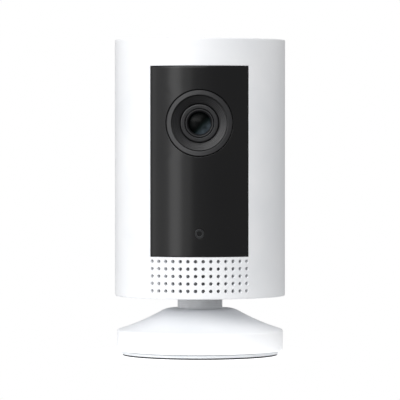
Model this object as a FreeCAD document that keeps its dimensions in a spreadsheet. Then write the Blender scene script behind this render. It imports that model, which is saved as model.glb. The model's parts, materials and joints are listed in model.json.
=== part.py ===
import FreeCAD, Part
import math
import os
from types import SimpleNamespace

import Sketcher

# A small indoor security camera: an upright cylindrical head on a short neck, which turns and tilts on
# a round stand. The stand twists off a plate that can be screwed to a wall. Millimetres, +Z up, origin
# at the middle of the underside of the stand. The lens looks along -Y.

doc = FreeCAD.newDocument("security_camera")
sheet = doc.addObject("Spreadsheet::Sheet", "dims")
pieces = []


# ---------------------------------------------------------------- sizes

class Size:
    """A length or angle that carries both its value and the sheet expression it comes from."""

    def __init__(self, value, text):
        self.value = value
        self.text = text

    def __add__(self, other):
        other = as_size(other)
        return Size(self.value + other.value, "(%s + %s)" % (self.text, other.text))

    def __sub__(self, other):
        other = as_size(other)
        return Size(self.value - other.value, "(%s - %s)" % (self.text, other.text))

    def __mul__(self, other):
        other = as_size(other)
        return Size(self.value * other.value, "(%s * %s)" % (self.text, other.text))

    def __rmul__(self, other):
        return as_size(other) * self

    def __neg__(self):
        return Size(-self.value, "(0 - %s)" % self.text)


def as_size(value):
    return value if isinstance(value, Size) else Size(value, repr(value))


rows = []


def group(prefix, **values):
    """Write one sheet row for each value and return the values as sizes bound to those rows."""
    sizes = SimpleNamespace()
    for word, value in values.items():
        rows.append(word)
        row = len(rows)
        alias = "%s_%s" % (prefix, word)
        sheet.set("A%d" % row, alias)
        sheet.set("B%d" % row, repr(value))
        sheet.setAlias("B%d" % row, alias)
        setattr(sizes, word, Size(value, "dims.%s" % alias))
    return sizes


fit = group("fit", slip=0.05, turn=0.06, loose=0.1, seat=0.2, bite=0.5)
pad = group("pad", inner=15.0, outer=20.9, thick=0.4)
plate = group("plate", radius=21.2, top=1.1, floor_radius=17.0, floor_top=1.9, hub_radius=18.6,
              hub_top=3.4, lug_radius=19.9, lug_bottom=2.4, lug_angle=24.0, stop_angle=3.0, stop_turn=15.2,
              holes=1.8, hole_circle=12.0)
base = group("base", radius=22.45, bottom=1.3, rim_top=6.31, slope_foot_r=21.97, slope_foot_z=6.98,
             slope_top_r=10.6, slope_top_z=11.85, table_r=8.6, table_z=12.6, rim_round=0.7,
             slope_round=59.0, shoulder_round=6.66, wall=1.8, edge=0.2, boss_r=7.0, boss_bottom=8.55,
             boss_top=10.75, roof_r=10.2, roof_z=9.6, ledge_r=18.9, ledge_top=2.2, ledge_angle=26.0)
neck = group("neck", radius=6.06, spigot_r=4.0, spigot_bottom=7.8, flat_half=5.3, flat_bottom=17.4,
             bore=1.55, screw_hole=1.2, screw_depth=14.0, washer_r=6.4, washer_bottom=7.2,
             wave_top=8.45, screw_head_r=2.6, screw_bottom=5.6, screw_r=1.15, screw_top=13.0)
tilt = group("tilt", axis_z=23.0, pin_r=1.5, ear_inner=6.15, ear_outer=8.05, ear_r=5.5, flange_x=12.0,
             flange_y=6.0, flange_top=18.65, washer_r=4.5, head_r=2.6, head_thick=1.2, nut_thick=1.8,
             pin_end=10.2, web_front=8.9, web_back=10.4)
head = group("head", radius=23.0, bottom=16.05, top=85.1, wall=1.8, roof=2.0, top_round=0.25,
             foot_round=0.3)
window = group("window", half=13.0, bottom=27.2, top=77.75, face_r=22.97, flange_x=14.5,
               flange_thick=0.95, flange_down=0.5, flange_up=1.5, gap=0.2, eye_r=8.95)
cap = group("cap", top=17.45, slot_x=6.2, slot_y=8.7, screw_x=16.8, screw_y=2.0, screw_hole=0.9,
            recess_r=1.6, recess_top=16.75, head_r=1.5, head_bottom=16.2, screw_r=0.8, screw_top=19.6)
drill = group("drill", radius=0.475, columns=14, lines=5, step_angle=5.09, top_z=26.04, step_z=1.96)
lens = group("lens", z=62.6, bezel_r=8.7, rim_inner=7.45, rim_step_y=-21.0, throat_r=5.25,
             throat_y=-18.5, bezel_r_front=22.93, collar_r=10.2, collar_front=-17.2, collar_back=-16.0,
             front_y=-19.3, tip_r=5.1, tip_bevel=0.25, thread_r=6.0, thread_front=-14.0, back_y=-5.2,
             pocket_r=3.9, pocket_y=-16.0, bore_r=2.6, ring_inner=3.0, ring_front=-18.9,
             ring_back=-18.2, ring_bevel=0.45)
glass = group("glass", front_r=3.85, front_edge=-17.9, front_back=-16.1, front_radius=5.2,
              small_r=2.55, middle_front=-12.0, middle_back=-10.2, rear_front=-8.2, rear_back=-6.4,
              small_radius=7.0)
baffle = group("baffle", outer=8.5, front=-15.95, back=-14.1)
holder = group("holder", outer=7.6, front=-12.6, flange_front=-6.5, back=-5.0, half_x=9.5, half_z=8.0)
ircut = group("ircut", half_x=11.2, half_z=8.0, back=-1.3, wall=0.7, eye_r=4.0, slider_left=-9.4,
              slider_right=3.4, slider_half_z=3.8, slider_front=-3.6, slider_back=-2.6, pane_r=2.8,
              pane_pitch=6.2, coil_half_x=5.0, coil_low=-7.0, coil_high=-4.4)
board = group("board", half_x=17.0, bottom=40.0, top=81.0, front=0.0, back=1.2, screw_x=16.0,
              screw_low=43.0, screw_high=78.5, hole_r=0.9, screw_r=0.7, head_r=1.05, head_front=-0.8,
              screw_back=3.6, sensor_half=4.0, sensor_front=-1.15, chip_back=2.3)
chip = group("chip", main_x=-3.4, main_z=53.0, main_half=4.4, side_x=5.2, low_z=50.6, low_half=2.6,
             high_z=56.6, high_half=2.2)
can = group("can", half_x=9.0, bottom=46.0, top=60.0, back=3.0, wall=0.2)
cooling = group("cooling", pad_half_x=6.0, pad_bottom=48.0, pad_top=58.0, front=4.0, back=5.2,
                half_x=13.8, bottom=44.0, top=80.0)
leds = group("leds", half_x=10.5, bottom=38.0, top=51.5, front=-17.0, back=-16.2, x=4.6, low_z=41.5,
             high_z=47.5, half=1.6, face=-18.6, dome_r=1.2, dome_face=-18.95)
status = group("status", z=33.4, hole_r=1.25, ring_outer=1.2, ring_inner=0.72, face=-22.93,
               foot_r=2.2, foot_front=-20.05, foot_back=-17.8, half_x=5.0, bottom=30.6, top=36.4,
               board_back=-17.0, mic_back=-15.9, mic_half_x=1.9, mic_half_z=1.5)
speaker = group("speaker", half_x=11.0, bottom=17.9, top=28.6, front=-16.9, back=-11.4, wall=0.9,
                cone_half_z=3.7, cone_front=-16.2, cone_edge=-15.7, cone_back=-15.2, magnet_r=3.6,
                magnet_front=-15.0, magnet_back=-9.6, z=23.0, gasket_x=12.6, gasket_inner=20.25,
                gasket_outer=20.85, gasket_bottom=17.5, gasket_top=26.6, mouth_x=11.0, mouth_low=18.0,
                mouth_high=26.1)
cloth = group("cloth", inner=20.9, outer=21.15, half_x=14.0, bottom=17.5, top=26.65)
frame = group("frame", rail_in=17.1, rail_out=19.1, front=-2.0, back=6.0, top=82.6, bar_top=81.1,
              bar_low=33.0, bar_high=35.0, foot_in=14.5, foot_top=20.2, tab_in=14.9, tab_half=1.6,
              tab_front=1.25, tab_back=3.9, arm_in=7.4, arm_out=9.8, arm_top=40.0, prong_in=2.6,
              prong_out=4.4)
power = group("power", half_x=11.0, bottom=24.0, top=50.0, front=16.0, back=17.2, jack_half_x=3.75,
              jack_z=30.0, jack_half_z=1.3, jack_face=21.9, jack_wall=0.35, jack_depth=17.9,
              tongue_half_x=1.6, tongue_half_z=0.3, mouth_half_x=4.1, mouth_half_z=1.7)
button = group("button", z=40.0, hole_r=1.9, stem_r=1.7, face=22.55, lip_r=2.6, lip_back=20.4,
               lip_front=19.6, nub_r=1.0, nub_front=19.3, switch_half=2.0, switch_back=18.5,
               plunger_r=0.9, plunger_back=18.8)
ribbon = group("ribbon", half_x=4.0, thick=0.3, power_z=41.0, led_z=46.0, plug_half_x=4.5,
               plug_half_z=1.2, plug_drop=0.6, plug_thick=1.0)
antenna = group("antenna", thick=0.4, front=-1.0, back=5.0, bottom=56.0, top=78.0)
doc.recompute()


# ---------------------------------------------------------------- helpers

turns = {"Z": FreeCAD.Rotation(),
         "Y": FreeCAD.Rotation(FreeCAD.Vector(1, 0, 0), -90),
         "X": FreeCAD.Rotation(FreeCAD.Vector(0, 1, 0), 90)}


def bind(obj, **properties):
    for name, value in properties.items():
        obj.setExpression(name, as_size(value).text)
    return obj


def place(obj, x, y, z, along="Z"):
    """Put an object's own origin at a point, with its Z axis along the axis named."""
    spot = [as_size(value) for value in (x, y, z)]
    obj.Placement = FreeCAD.Placement(FreeCAD.Vector(*[s.value for s in spot]), turns[along])
    for axis, size in zip("xyz", spot):
        obj.setExpression("Placement.Base." + axis, size.text)
    return obj


def block(name, x, y, z):
    """A box given by its low and high coordinate along each axis."""
    low = [as_size(pair[0]) for pair in (x, y, z)]
    spans = [as_size(pair[1]) - pair[0] for pair in (x, y, z)]
    box = doc.addObject("Part::Box", name)
    bind(box, Length=spans[0], Width=spans[1], Height=spans[2])
    return place(box, *low)


def wide(half):
    """The pair of coordinates that lies evenly about the middle."""
    return (-half, half)


def rod(name, radius, low, high, along="Z", centre=(0, 0)):
    """A cylinder between two coordinates on an axis; centre holds its other two, in X, Y, Z order."""
    spot = {"Z": (centre[0], centre[1], low),
            "Y": (centre[0], low, centre[1]),
            "X": (low, centre[0], centre[1])}[along]
    cylinder = doc.addObject("Part::Cylinder", name)
    bind(cylinder, Radius=radius, Height=as_size(high) - low)
    return place(cylinder, *spot, along=along)


def cut(name, whole, *tools):
    tool = tools[0] if len(tools) == 1 else fuse(name + "_tools", *tools)
    result = doc.addObject("Part::Cut", name)
    result.Base = whole
    result.Tool = tool
    return result


def fuse(name, *parts):
    result = doc.addObject("Part::MultiFuse", name)
    result.Shapes = list(parts)
    return result


def common(name, first, second):
    result = doc.addObject("Part::Common", name)
    result.Base = first
    result.Tool = second
    return result


def bunch(name, *solids):
    """Several separate solids kept as one piece, such as a set of screws."""
    result = doc.addObject("Part::Compound", name)
    result.Links = list(solids)
    return result


def tube(name, outer, inner, low, high, along="Z", centre=(0, 0)):
    return cut(name, rod(name + "_outer", outer, low, high, along, centre),
               rod(name + "_inner", inner, low, high, along, centre))


def sector(name, outer, inner, low, high, angle, middle):
    """Part of a ring about Z, of the angle given, centred on the direction called middle."""
    whole = rod(name + "_outer", outer, low, high)
    bind(whole, Angle=angle)
    hollow = rod(name + "_inner", inner, low, high)
    ring = cut(name, whole, hollow)
    turn = FreeCAD.Rotation(FreeCAD.Vector(0, 0, 1), middle - angle.value / 2)
    ring.Placement = FreeCAD.Placement(FreeCAD.Vector(0, 0, 0), turn)
    return ring


def arc_middle(start, end, radius):
    """The point half way along an arc; a positive radius bulges to the right of the way it runs."""
    chord = end - start
    half = chord.Length / 2
    rise = abs(radius) - math.sqrt(radius * radius - half * half)
    right = FreeCAD.Vector(chord.y, -chord.x, 0).normalize()
    return (start + end) / 2 + right * math.copysign(rise, radius)


def outline(sketch, corners, rounds):
    """Draw a closed outline through bound corners; rounds maps an edge's number to its arc radius."""
    points = [FreeCAD.Vector(a.value, b.value, 0) for a, b in corners]
    ends = []
    for number, start in enumerate(points):
        end = points[(number + 1) % len(points)]
        if number in rounds:
            middle = arc_middle(start, end, rounds[number].value)
            edge = sketch.addGeometry(Part.Arc(start, middle, end))
            radius = abs(rounds[number].value)
            text = rounds[number].text if rounds[number].value > 0 else (-rounds[number]).text
            index = sketch.addConstraint(Sketcher.Constraint("Radius", edge, radius))
            sketch.setExpression("Constraints[%d]" % index, text)
        else:
            edge = sketch.addGeometry(Part.LineSegment(start, end))
        forwards = (sketch.getPoint(edge, 1) - start).Length < (sketch.getPoint(edge, 2) - start).Length
        ends.append((edge, 1, 2) if forwards else (edge, 2, 1))
    for number, (edge, first, last) in enumerate(ends):
        following, joined = ends[(number + 1) % len(ends)][:2]
        sketch.addConstraint(Sketcher.Constraint("Coincident", edge, last, following, joined))
    for (edge, first, last), corner in zip(ends, corners):
        for kind, size in zip(("DistanceX", "DistanceY"), corner):
            index = sketch.addConstraint(Sketcher.Constraint(kind, -1, 1, edge, first, size.value))
            sketch.setExpression("Constraints[%d]" % index, size.text)


def turned(name, axis, corners, rounds=None, height=0):
    """A body turned about the Z or Y axis from an outline of (radius, distance along the axis)."""
    body = doc.addObject("PartDesign::Body", name)
    role = {"Z": "XZ_Plane", "Y": "XY_Plane"}[axis]
    plane = [item for item in body.Origin.OriginFeatures if item.Role == role][0]
    sketch = body.newObject("Sketcher::SketchObject", name + "_outline")
    sketch.AttachmentSupport = (plane, [""])
    sketch.MapMode = "FlatFace"
    corners = [(as_size(a), as_size(b)) for a, b in corners]
    rounds = {number: as_size(radius) for number, radius in (rounds or {}).items()}
    outline(sketch, corners, rounds)
    turn = body.newObject("PartDesign::Revolution", name + "_turn")
    turn.Profile = sketch
    turn.ReferenceAxis = (sketch, ["V_Axis"])
    turn.Angle = 360
    if axis == "Y":
        place(body, 0, 0, height)
    return body


def piece(name, obj):
    """Give a finished sub-part the name that its file takes."""
    obj.Label = name
    pieces.append(obj)
    return obj


# ---------------------------------------------------------------- stand

def make_foot():
    """The rubber ring under the stand and the screw-down plate above it, with its three lock lugs."""
    piece("foot_pad", turned("foot_pad_ring", "Z", [
        (pad.inner, 0), (pad.outer, 0), (pad.outer, pad.thick), (pad.inner, pad.thick)]))
    disc = turned("plate_disc", "Z", [
        (0, pad.thick), (plate.radius, pad.thick), (plate.radius, plate.top),
        (plate.hub_radius, plate.top), (plate.hub_radius, plate.hub_top),
        (plate.floor_radius, plate.hub_top), (plate.floor_radius, plate.floor_top), (0, plate.floor_top)])
    lugs = []
    holes = []
    for number in range(3):
        around = 90 + 120 * number
        lugs.append(sector("plate_lug_%d" % number, plate.lug_radius, plate.floor_radius,
                           plate.lug_bottom, plate.hub_top, plate.lug_angle, around))
        lugs.append(sector("plate_stop_%d" % number, plate.lug_radius, plate.floor_radius,
                           plate.top, plate.hub_top, plate.stop_angle, around - plate.stop_turn.value))
        angle = math.radians(around + 60)
        spot = (plate.hole_circle * math.cos(angle), plate.hole_circle * math.sin(angle))
        holes.append(rod("plate_hole_%d" % number, plate.holes, pad.thick - 1, plate.floor_top + 1,
                         "Z", spot))
    piece("wall_plate", cut("wall_plate", fuse("plate_with_lugs", disc, *lugs), *holes))


def make_base():
    """The moulded stand: a low cone with a soft shoulder, hollow below, with a bored boss in the middle."""
    bore = neck.spigot_r + fit.turn
    inside = base.radius - base.wall
    shell = turned("base_cone", "Z", [
        (inside, base.bottom), (base.radius - base.edge, base.bottom),
        (base.radius, base.bottom + base.edge), (base.radius, base.rim_top),
        (base.slope_foot_r, base.slope_foot_z), (base.slope_top_r, base.slope_top_z),
        (base.table_r, base.table_z), (bore, base.table_z), (bore, base.boss_bottom),
        (base.boss_r, base.boss_bottom), (base.boss_r, base.boss_top), (base.roof_r, base.roof_z),
        (inside, base.slope_foot_z - base.wall)],
        {3: base.rim_round, 4: -base.slope_round, 5: base.shoulder_round})
    ledges = [sector("base_ledge_%d" % number, inside + fit.bite, base.ledge_r, base.bottom, base.ledge_top,
                     base.ledge_angle, 90 + 120 * number) for number in range(3)]
    piece("base_shell", fuse("base_shell", shell, *ledges))


def make_neck():
    """The turning post, flattened at the top for the tilt joint, and the parts that hold it in the boss."""
    foot = base.table_z + fit.slip
    column = rod("neck_column", neck.radius, foot, tilt.axis_z)
    crown = common("neck_crown", rod("neck_tall", neck.radius, foot, tilt.axis_z + neck.radius),
                   rod("neck_dome", neck.radius, -neck.radius, neck.radius, "X", (0, tilt.axis_z)))
    spigot = rod("neck_spigot", neck.spigot_r, neck.spigot_bottom, foot + 1)
    high = tilt.axis_z + neck.radius + 1
    flats = [block("neck_flat_left", (-neck.radius - 1, -neck.flat_half), wide(neck.radius + 1),
                   (neck.flat_bottom, high)),
             block("neck_flat_right", (neck.flat_half, neck.radius + 1), wide(neck.radius + 1),
                   (neck.flat_bottom, high))]
    cross = rod("neck_cross_bore", neck.bore, -neck.radius - 1, neck.radius + 1, "X", (0, tilt.axis_z))
    screw_hole = rod("neck_screw_hole", neck.screw_hole, neck.spigot_bottom - 1, neck.screw_depth)
    piece("neck_post", cut("neck_post", fuse("neck_solid", column, crown, spigot),
                           cross, screw_hole, *flats))
    piece("wave_washer", tube("wave_washer", neck.washer_r, neck.spigot_r + fit.loose, neck.spigot_bottom,
                              neck.wave_top))
    piece("swivel_washer", tube("swivel_washer", neck.washer_r, neck.screw_r + fit.loose,
                                neck.washer_bottom, neck.spigot_bottom))
    piece("swivel_screw", turned("swivel_screw", "Z", [
        (0, neck.screw_bottom), (neck.screw_head_r, neck.screw_bottom),
        (neck.screw_head_r, neck.washer_bottom), (neck.screw_r, neck.washer_bottom),
        (neck.screw_r, neck.screw_top), (0, neck.screw_top)]))


# ---------------------------------------------------------------- tilt joint

def make_tilt_joint():
    """The fork inside the head that holds the neck, with its pin, nut and two friction washers."""
    ears = []
    for side, inner, outer in (("left", -tilt.ear_outer, -tilt.ear_inner),
                               ("right", tilt.ear_inner, tilt.ear_outer)):
        ears.append(block("ear_block_" + side, (inner, outer), wide(tilt.ear_r), (cap.top, tilt.axis_z)))
        ears.append(rod("ear_round_" + side, tilt.ear_r, inner, outer, "X", (0, tilt.axis_z)))
    flanges = [block("ear_foot_left", (-tilt.flange_x, -tilt.ear_inner), wide(tilt.flange_y),
                     (cap.top, tilt.flange_top)),
               block("ear_foot_right", (tilt.ear_inner, tilt.flange_x), wide(tilt.flange_y),
                     (cap.top, tilt.flange_top))]
    web = block("ear_web", wide(tilt.ear_outer), (tilt.web_front, tilt.web_back), (cap.top, tilt.axis_z))
    cheeks = [block("ear_cheek_left", (-tilt.ear_outer, -tilt.ear_inner), (0, tilt.web_back),
                    (cap.top, tilt.axis_z)),
              block("ear_cheek_right", (tilt.ear_inner, tilt.ear_outer), (0, tilt.web_back),
                    (cap.top, tilt.axis_z))]
    bore = rod("ear_bore", tilt.pin_r, -tilt.flange_x, tilt.flange_x, "X", (0, tilt.axis_z))
    piece("tilt_bracket", cut("tilt_bracket", fuse("fork", *ears, *flanges, web, *cheeks), bore))
    pin_head = -tilt.ear_outer - tilt.head_thick
    piece("tilt_pin", fuse("tilt_pin",
                           rod("pin_head", tilt.head_r, pin_head, -tilt.ear_outer, "X",
                               (0, tilt.axis_z)),
                           rod("pin_shank", tilt.pin_r, -tilt.ear_outer, tilt.pin_end, "X",
                               (0, tilt.axis_z))))
    piece("tilt_nut", tube("tilt_nut", tilt.head_r, tilt.pin_r, tilt.ear_outer,
                           tilt.ear_outer + tilt.nut_thick, "X", (0, tilt.axis_z)))
    low = neck.flat_half + fit.slip
    piece("friction_washers", bunch(
        "friction_washers",
        tube("washer_right", tilt.washer_r, tilt.pin_r, low, tilt.ear_inner, "X", (0, tilt.axis_z)),
        tube("washer_left", tilt.washer_r, tilt.pin_r, -tilt.ear_inner, -low, "X",
             (0, tilt.axis_z))))


# ---------------------------------------------------------------- head, outside

def grille_drills():
    """The drills for the sound holes: each points at the head's axis, on an even grid round the front."""
    radius = drill.radius.value
    start = head.radius.value - 2 * head.wall.value
    length = 3 * head.wall.value
    shafts = []
    for column in range(int(drill.columns.value)):
        angle = math.radians((column - (drill.columns.value - 1) / 2) * drill.step_angle.value)
        outward = FreeCAD.Vector(math.sin(angle), -math.cos(angle), 0)
        for line in range(int(drill.lines.value)):
            level = FreeCAD.Vector(0, 0, drill.top_z.value - line * drill.step_z.value)
            shafts.append(Part.makeCylinder(radius, length, outward * start + level, outward))
    feature = doc.addObject("Part::Feature", "grille_drills")
    feature.Shape = Part.makeCompound(shafts)
    return feature


def make_shell():
    """The head's outer tube, closed at the top, with the window opening and the rear openings."""
    inner = head.radius - head.wall
    cup = turned("head_cup", "Z", [
        (inner, head.bottom), (head.radius - head.foot_round, head.bottom),
        (head.radius, head.bottom + head.foot_round), (head.radius, head.top - head.top_round),
        (head.radius - head.top_round, head.top), (0, head.top), (0, head.top - head.roof),
        (inner, head.top - head.roof)],
        {1: head.foot_round, 3: head.top_round})
    beyond = head.radius + 2
    opening = block("window_opening", wide(window.half), (-beyond, 0), (window.bottom, window.top))
    jack = block("jack_opening", wide(power.mouth_half_x), (0, beyond),
                 (power.jack_z - power.mouth_half_z, power.jack_z + power.mouth_half_z))
    press = rod("button_opening", button.hole_r, 0, beyond, "Y", (0, button.z))
    piece("body_shell", cut("body_shell", cut("shell_with_openings", cup, opening, jack, press),
                            grille_drills()))


def make_window():
    """The dark front window: a curved plug flush with the shell, with a hidden flange behind it."""
    inner = head.radius - head.wall - fit.slip
    plug = common("window_plug", tube("window_skin", window.face_r, inner - fit.bite, 0, head.top),
                  block("window_block", wide(window.half - window.gap), (-head.radius - 1, -head.wall),
                        (window.bottom + window.gap, window.top - window.gap)))
    flange = common("window_flange", tube("window_ring", inner, inner - window.flange_thick, 0, head.top),
                    block("window_frame", wide(window.flange_x), (-head.radius - 1, -head.wall),
                          (window.bottom - window.flange_down, window.top + window.flange_up)))
    eye = rod("window_eye", window.eye_r, -head.radius - 1, 0, "Y", (0, lens.z))
    light = rod("window_light_hole", status.hole_r, -head.radius - 1, 0, "Y", (0, status.z))
    piece("front_window", cut("front_window", fuse("window_solid", plug, flange), eye, light))


def make_cap():
    """The head's underside: a disc with a slot that lets the neck swing, and its two screws."""
    disc = rod("cap_disc", head.radius - head.wall - fit.slip, head.bottom, cap.top)
    slot = block("cap_slot", wide(cap.slot_x), wide(cap.slot_y), (head.bottom - 1, cap.top + 1))
    holes = []
    screws = []
    for side, x in (("left", -cap.screw_x), ("right", cap.screw_x)):
        spot = (x, cap.screw_y)
        holes.append(rod("cap_hole_" + side, cap.screw_hole, head.bottom - 1, cap.top + 1, "Z", spot))
        holes.append(rod("cap_recess_" + side, cap.recess_r, head.bottom - 1, cap.recess_top, "Z", spot))
        screws.append(fuse("cap_screw_" + side,
                           rod("cap_screw_head_" + side, cap.head_r, cap.head_bottom,
                               cap.recess_top, "Z", spot),
                           rod("cap_screw_shank_" + side, cap.screw_r, cap.recess_top,
                               cap.screw_top, "Z", spot)))
    piece("bottom_cap", cut("bottom_cap", disc, slot, *holes))
    piece("cap_screws", bunch("cap_screws", *screws))


def make_status_light():
    """The light ring beside the microphone port, with its little board and the microphone behind it."""
    ring = turned("status_ring", "Y", [
        (status.ring_inner, status.face), (status.ring_outer, status.face),
        (status.ring_outer, status.foot_front), (status.foot_r, status.foot_front),
        (status.foot_r, status.foot_back), (status.ring_inner, status.foot_back)], None, status.z)
    piece("status_light_ring", ring)
    plain = block("status_card", wide(status.half_x), (status.foot_back, status.board_back),
                  (status.bottom, status.top))
    port = rod("microphone_port", status.ring_inner, status.foot_back - 1, status.board_back + 1, "Y",
               (0, status.z))
    piece("status_board", cut("status_board", plain, port))
    piece("microphone", block("microphone", wide(status.mic_half_x),
                              (status.board_back, status.mic_back),
                              (status.z - status.mic_half_z, status.z + status.mic_half_z)))


# ---------------------------------------------------------------- lens and filter

def make_lens():
    """The bezel, barrel, retaining ring and glass of the lens, all turned about the line of sight."""
    rim = lens.rim_inner
    cone = turned("bezel_turned", "Y", [
        (lens.bezel_r, -head.radius - 1), (lens.bezel_r, lens.collar_front),
        (lens.collar_r, lens.collar_front), (lens.collar_r, lens.collar_back),
        (lens.throat_r, lens.collar_back), (lens.throat_r, lens.throat_y), (rim, lens.rim_step_y),
        (rim, -head.radius - 1)], None, lens.z)
    piece("lens_bezel", common("lens_bezel", cone, rod("bezel_face", lens.bezel_r_front, 0, head.top)))
    piece("light_baffle", tube("light_baffle", baffle.outer, lens.throat_r, baffle.front, baffle.back,
                               "Y", (0, lens.z)))
    piece("lens_barrel", turned("lens_barrel", "Y", [
        (lens.pocket_r, lens.front_y), (lens.tip_r - lens.tip_bevel, lens.front_y),
        (lens.tip_r, lens.front_y + lens.tip_bevel), (lens.tip_r, lens.thread_front),
        (lens.thread_r, lens.thread_front), (lens.thread_r, lens.back_y), (lens.bore_r, lens.back_y),
        (lens.bore_r, lens.pocket_y), (lens.pocket_r, lens.pocket_y)], None, lens.z))
    ring_edge = lens.pocket_r - fit.slip
    piece("lens_retaining_ring", turned("lens_retaining_ring", "Y", [
        (lens.ring_inner, lens.ring_front + lens.ring_bevel),
        (lens.ring_inner + lens.ring_bevel, lens.ring_front), (ring_edge, lens.ring_front),
        (ring_edge, lens.ring_back), (lens.ring_inner, lens.ring_back)], None, lens.z))
    # The front glass is a meniscus: a domed face, a plain edge and a flat back.
    dome = glass.front_radius.value - math.sqrt(glass.front_radius.value ** 2 - lens.ring_inner.value ** 2)
    piece("front_lens", turned("front_lens", "Y", [
        (0, glass.front_edge - dome), (lens.ring_inner, glass.front_edge),
        (glass.front_r, glass.front_edge), (glass.front_r, glass.front_back), (0, glass.front_back)],
        {0: glass.front_radius}, lens.z))
    for name, front, back in (("middle_lens", glass.middle_front, glass.middle_back),
                              ("rear_lens", glass.rear_front, glass.rear_back)):
        swell = glass.small_radius.value - math.sqrt(glass.small_radius.value ** 2
                                                     - glass.small_r.value ** 2)
        piece(name, turned(name, "Y", [
            (0, front - swell), (glass.small_r, front), (glass.small_r, back), (0, back + swell)],
            {0: glass.small_radius, 2: glass.small_radius}, lens.z))
    holder_tube = rod("holder_tube", holder.outer, holder.front, holder.back, "Y", (0, lens.z))
    flange = block("holder_flange", wide(holder.half_x), (holder.flange_front, holder.back),
                   (lens.z - holder.half_z, lens.z + holder.half_z))
    thread = rod("holder_thread", lens.thread_r, holder.front - 1, holder.back + 1, "Y", (0, lens.z))
    piece("lens_holder", cut("lens_holder", fuse("holder_solid", holder_tube, flange), thread))


def make_ircut():
    """The filter changer: a flat case behind the lens in which a slide carries two panes sideways."""
    low = lens.z - ircut.half_z
    high = lens.z + ircut.half_z
    case = block("ircut_case", wide(ircut.half_x), (holder.back, ircut.back), (low, high))
    hollow = block("ircut_hollow", wide(ircut.half_x - ircut.wall),
                   (holder.back + ircut.wall, ircut.back - ircut.wall),
                   (low + ircut.wall, high - ircut.wall))
    sight = rod("ircut_sight", ircut.eye_r, holder.back - 1, ircut.back + 1, "Y", (0, lens.z))
    piece("ircut_housing", cut("ircut_housing", case, hollow, sight))
    slide = block("ircut_plate", (ircut.slider_left, ircut.slider_right),
                  (ircut.slider_front, ircut.slider_back),
                  (lens.z - ircut.slider_half_z, lens.z + ircut.slider_half_z))
    panes = []
    seats = []
    for name, x in (("clear", 0), ("filter", -ircut.pane_pitch)):
        seats.append(rod("pane_seat_" + name, ircut.pane_r, ircut.slider_front - 1,
                         ircut.slider_back + 1, "Y", (x, lens.z)))
        panes.append(rod("pane_" + name, ircut.pane_r, ircut.slider_front + fit.seat,
                         ircut.slider_back - fit.seat, "Y", (x, lens.z)))
    piece("ircut_slider", cut("ircut_slider", slide, *seats))
    piece("ircut_panes", bunch("ircut_panes", *panes))
    piece("ircut_coil", block("ircut_coil", wide(ircut.coil_half_x),
                              (holder.back + ircut.wall, ircut.back - ircut.wall),
                              (lens.z + ircut.coil_low, lens.z + ircut.coil_high)))


# ---------------------------------------------------------------- boards and cooling

def make_main_board():
    """The main circuit board with its image sensor, chips, shield, screws and heat path."""
    plain = block("main_card", wide(board.half_x), (board.front, board.back), (board.bottom, board.top))
    holes = []
    screws = []
    for side, x in (("left", -board.screw_x), ("right", board.screw_x)):
        for level, z in (("low", board.screw_low), ("high", board.screw_high)):
            tag = "%s_%s" % (side, level)
            holes.append(rod("board_hole_" + tag, board.hole_r, board.front - 1, board.back + 1, "Y",
                             (x, z)))
            screws.append(fuse("board_screw_" + tag,
                               rod("board_screw_head_" + tag, board.head_r, board.head_front,
                                   board.front, "Y", (x, z)),
                               rod("board_screw_shank_" + tag, board.screw_r, board.front,
                                   board.screw_back, "Y", (x, z))))
    piece("main_board", cut("main_board", plain, *holes))
    piece("board_screws", bunch("board_screws", *screws))
    piece("image_sensor", block("image_sensor", wide(board.sensor_half),
                                (board.sensor_front, board.front),
                                (lens.z - board.sensor_half, lens.z + board.sensor_half)))
    chips = []
    for number, (x, z, half) in enumerate(((chip.main_x, chip.main_z, chip.main_half),
                                           (chip.side_x, chip.low_z, chip.low_half),
                                           (chip.side_x, chip.high_z, chip.high_half))):
        chips.append(block("chip_%d" % number, (x - half, x + half), (board.back, board.chip_back),
                           (z - half, z + half)))
    piece("board_chips", bunch("board_chips", *chips))
    outer = block("can_outer", wide(can.half_x), (board.back, can.back), (can.bottom, can.top))
    inner = block("can_inner", wide(can.half_x - can.wall), (board.back - 1, can.back - can.wall),
                  (can.bottom + can.wall, can.top - can.wall))
    piece("shield_can", cut("shield_can", outer, inner))
    piece("thermal_pad", block("thermal_pad", wide(cooling.pad_half_x), (can.back, cooling.front),
                               (cooling.pad_bottom, cooling.pad_top)))
    piece("heat_spreader", block("heat_spreader", wide(cooling.half_x), (cooling.front, cooling.back),
                                 (cooling.bottom, cooling.top)))


def make_night_lights():
    """The infrared lamps behind the window, on a board of their own."""
    piece("ir_led_board", block("ir_led_board", wide(leds.half_x), (leds.front, leds.back),
                                (leds.bottom, leds.top)))
    lamps = []
    for side, x in (("left", -leds.x), ("right", leds.x)):
        for level, z in (("low", leds.low_z), ("high", leds.high_z)):
            tag = "%s_%s" % (side, level)
            lamps.append(fuse("lamp_" + tag,
                              block("lamp_case_" + tag, (x - leds.half, x + leds.half),
                                    (leds.face, leds.front), (z - leds.half, z + leds.half)),
                              rod("lamp_dome_" + tag, leds.dome_r, leds.dome_face, leds.front, "Y",
                                  (x, z))))
    piece("ir_leds", bunch("ir_leds", *lamps))


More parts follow.
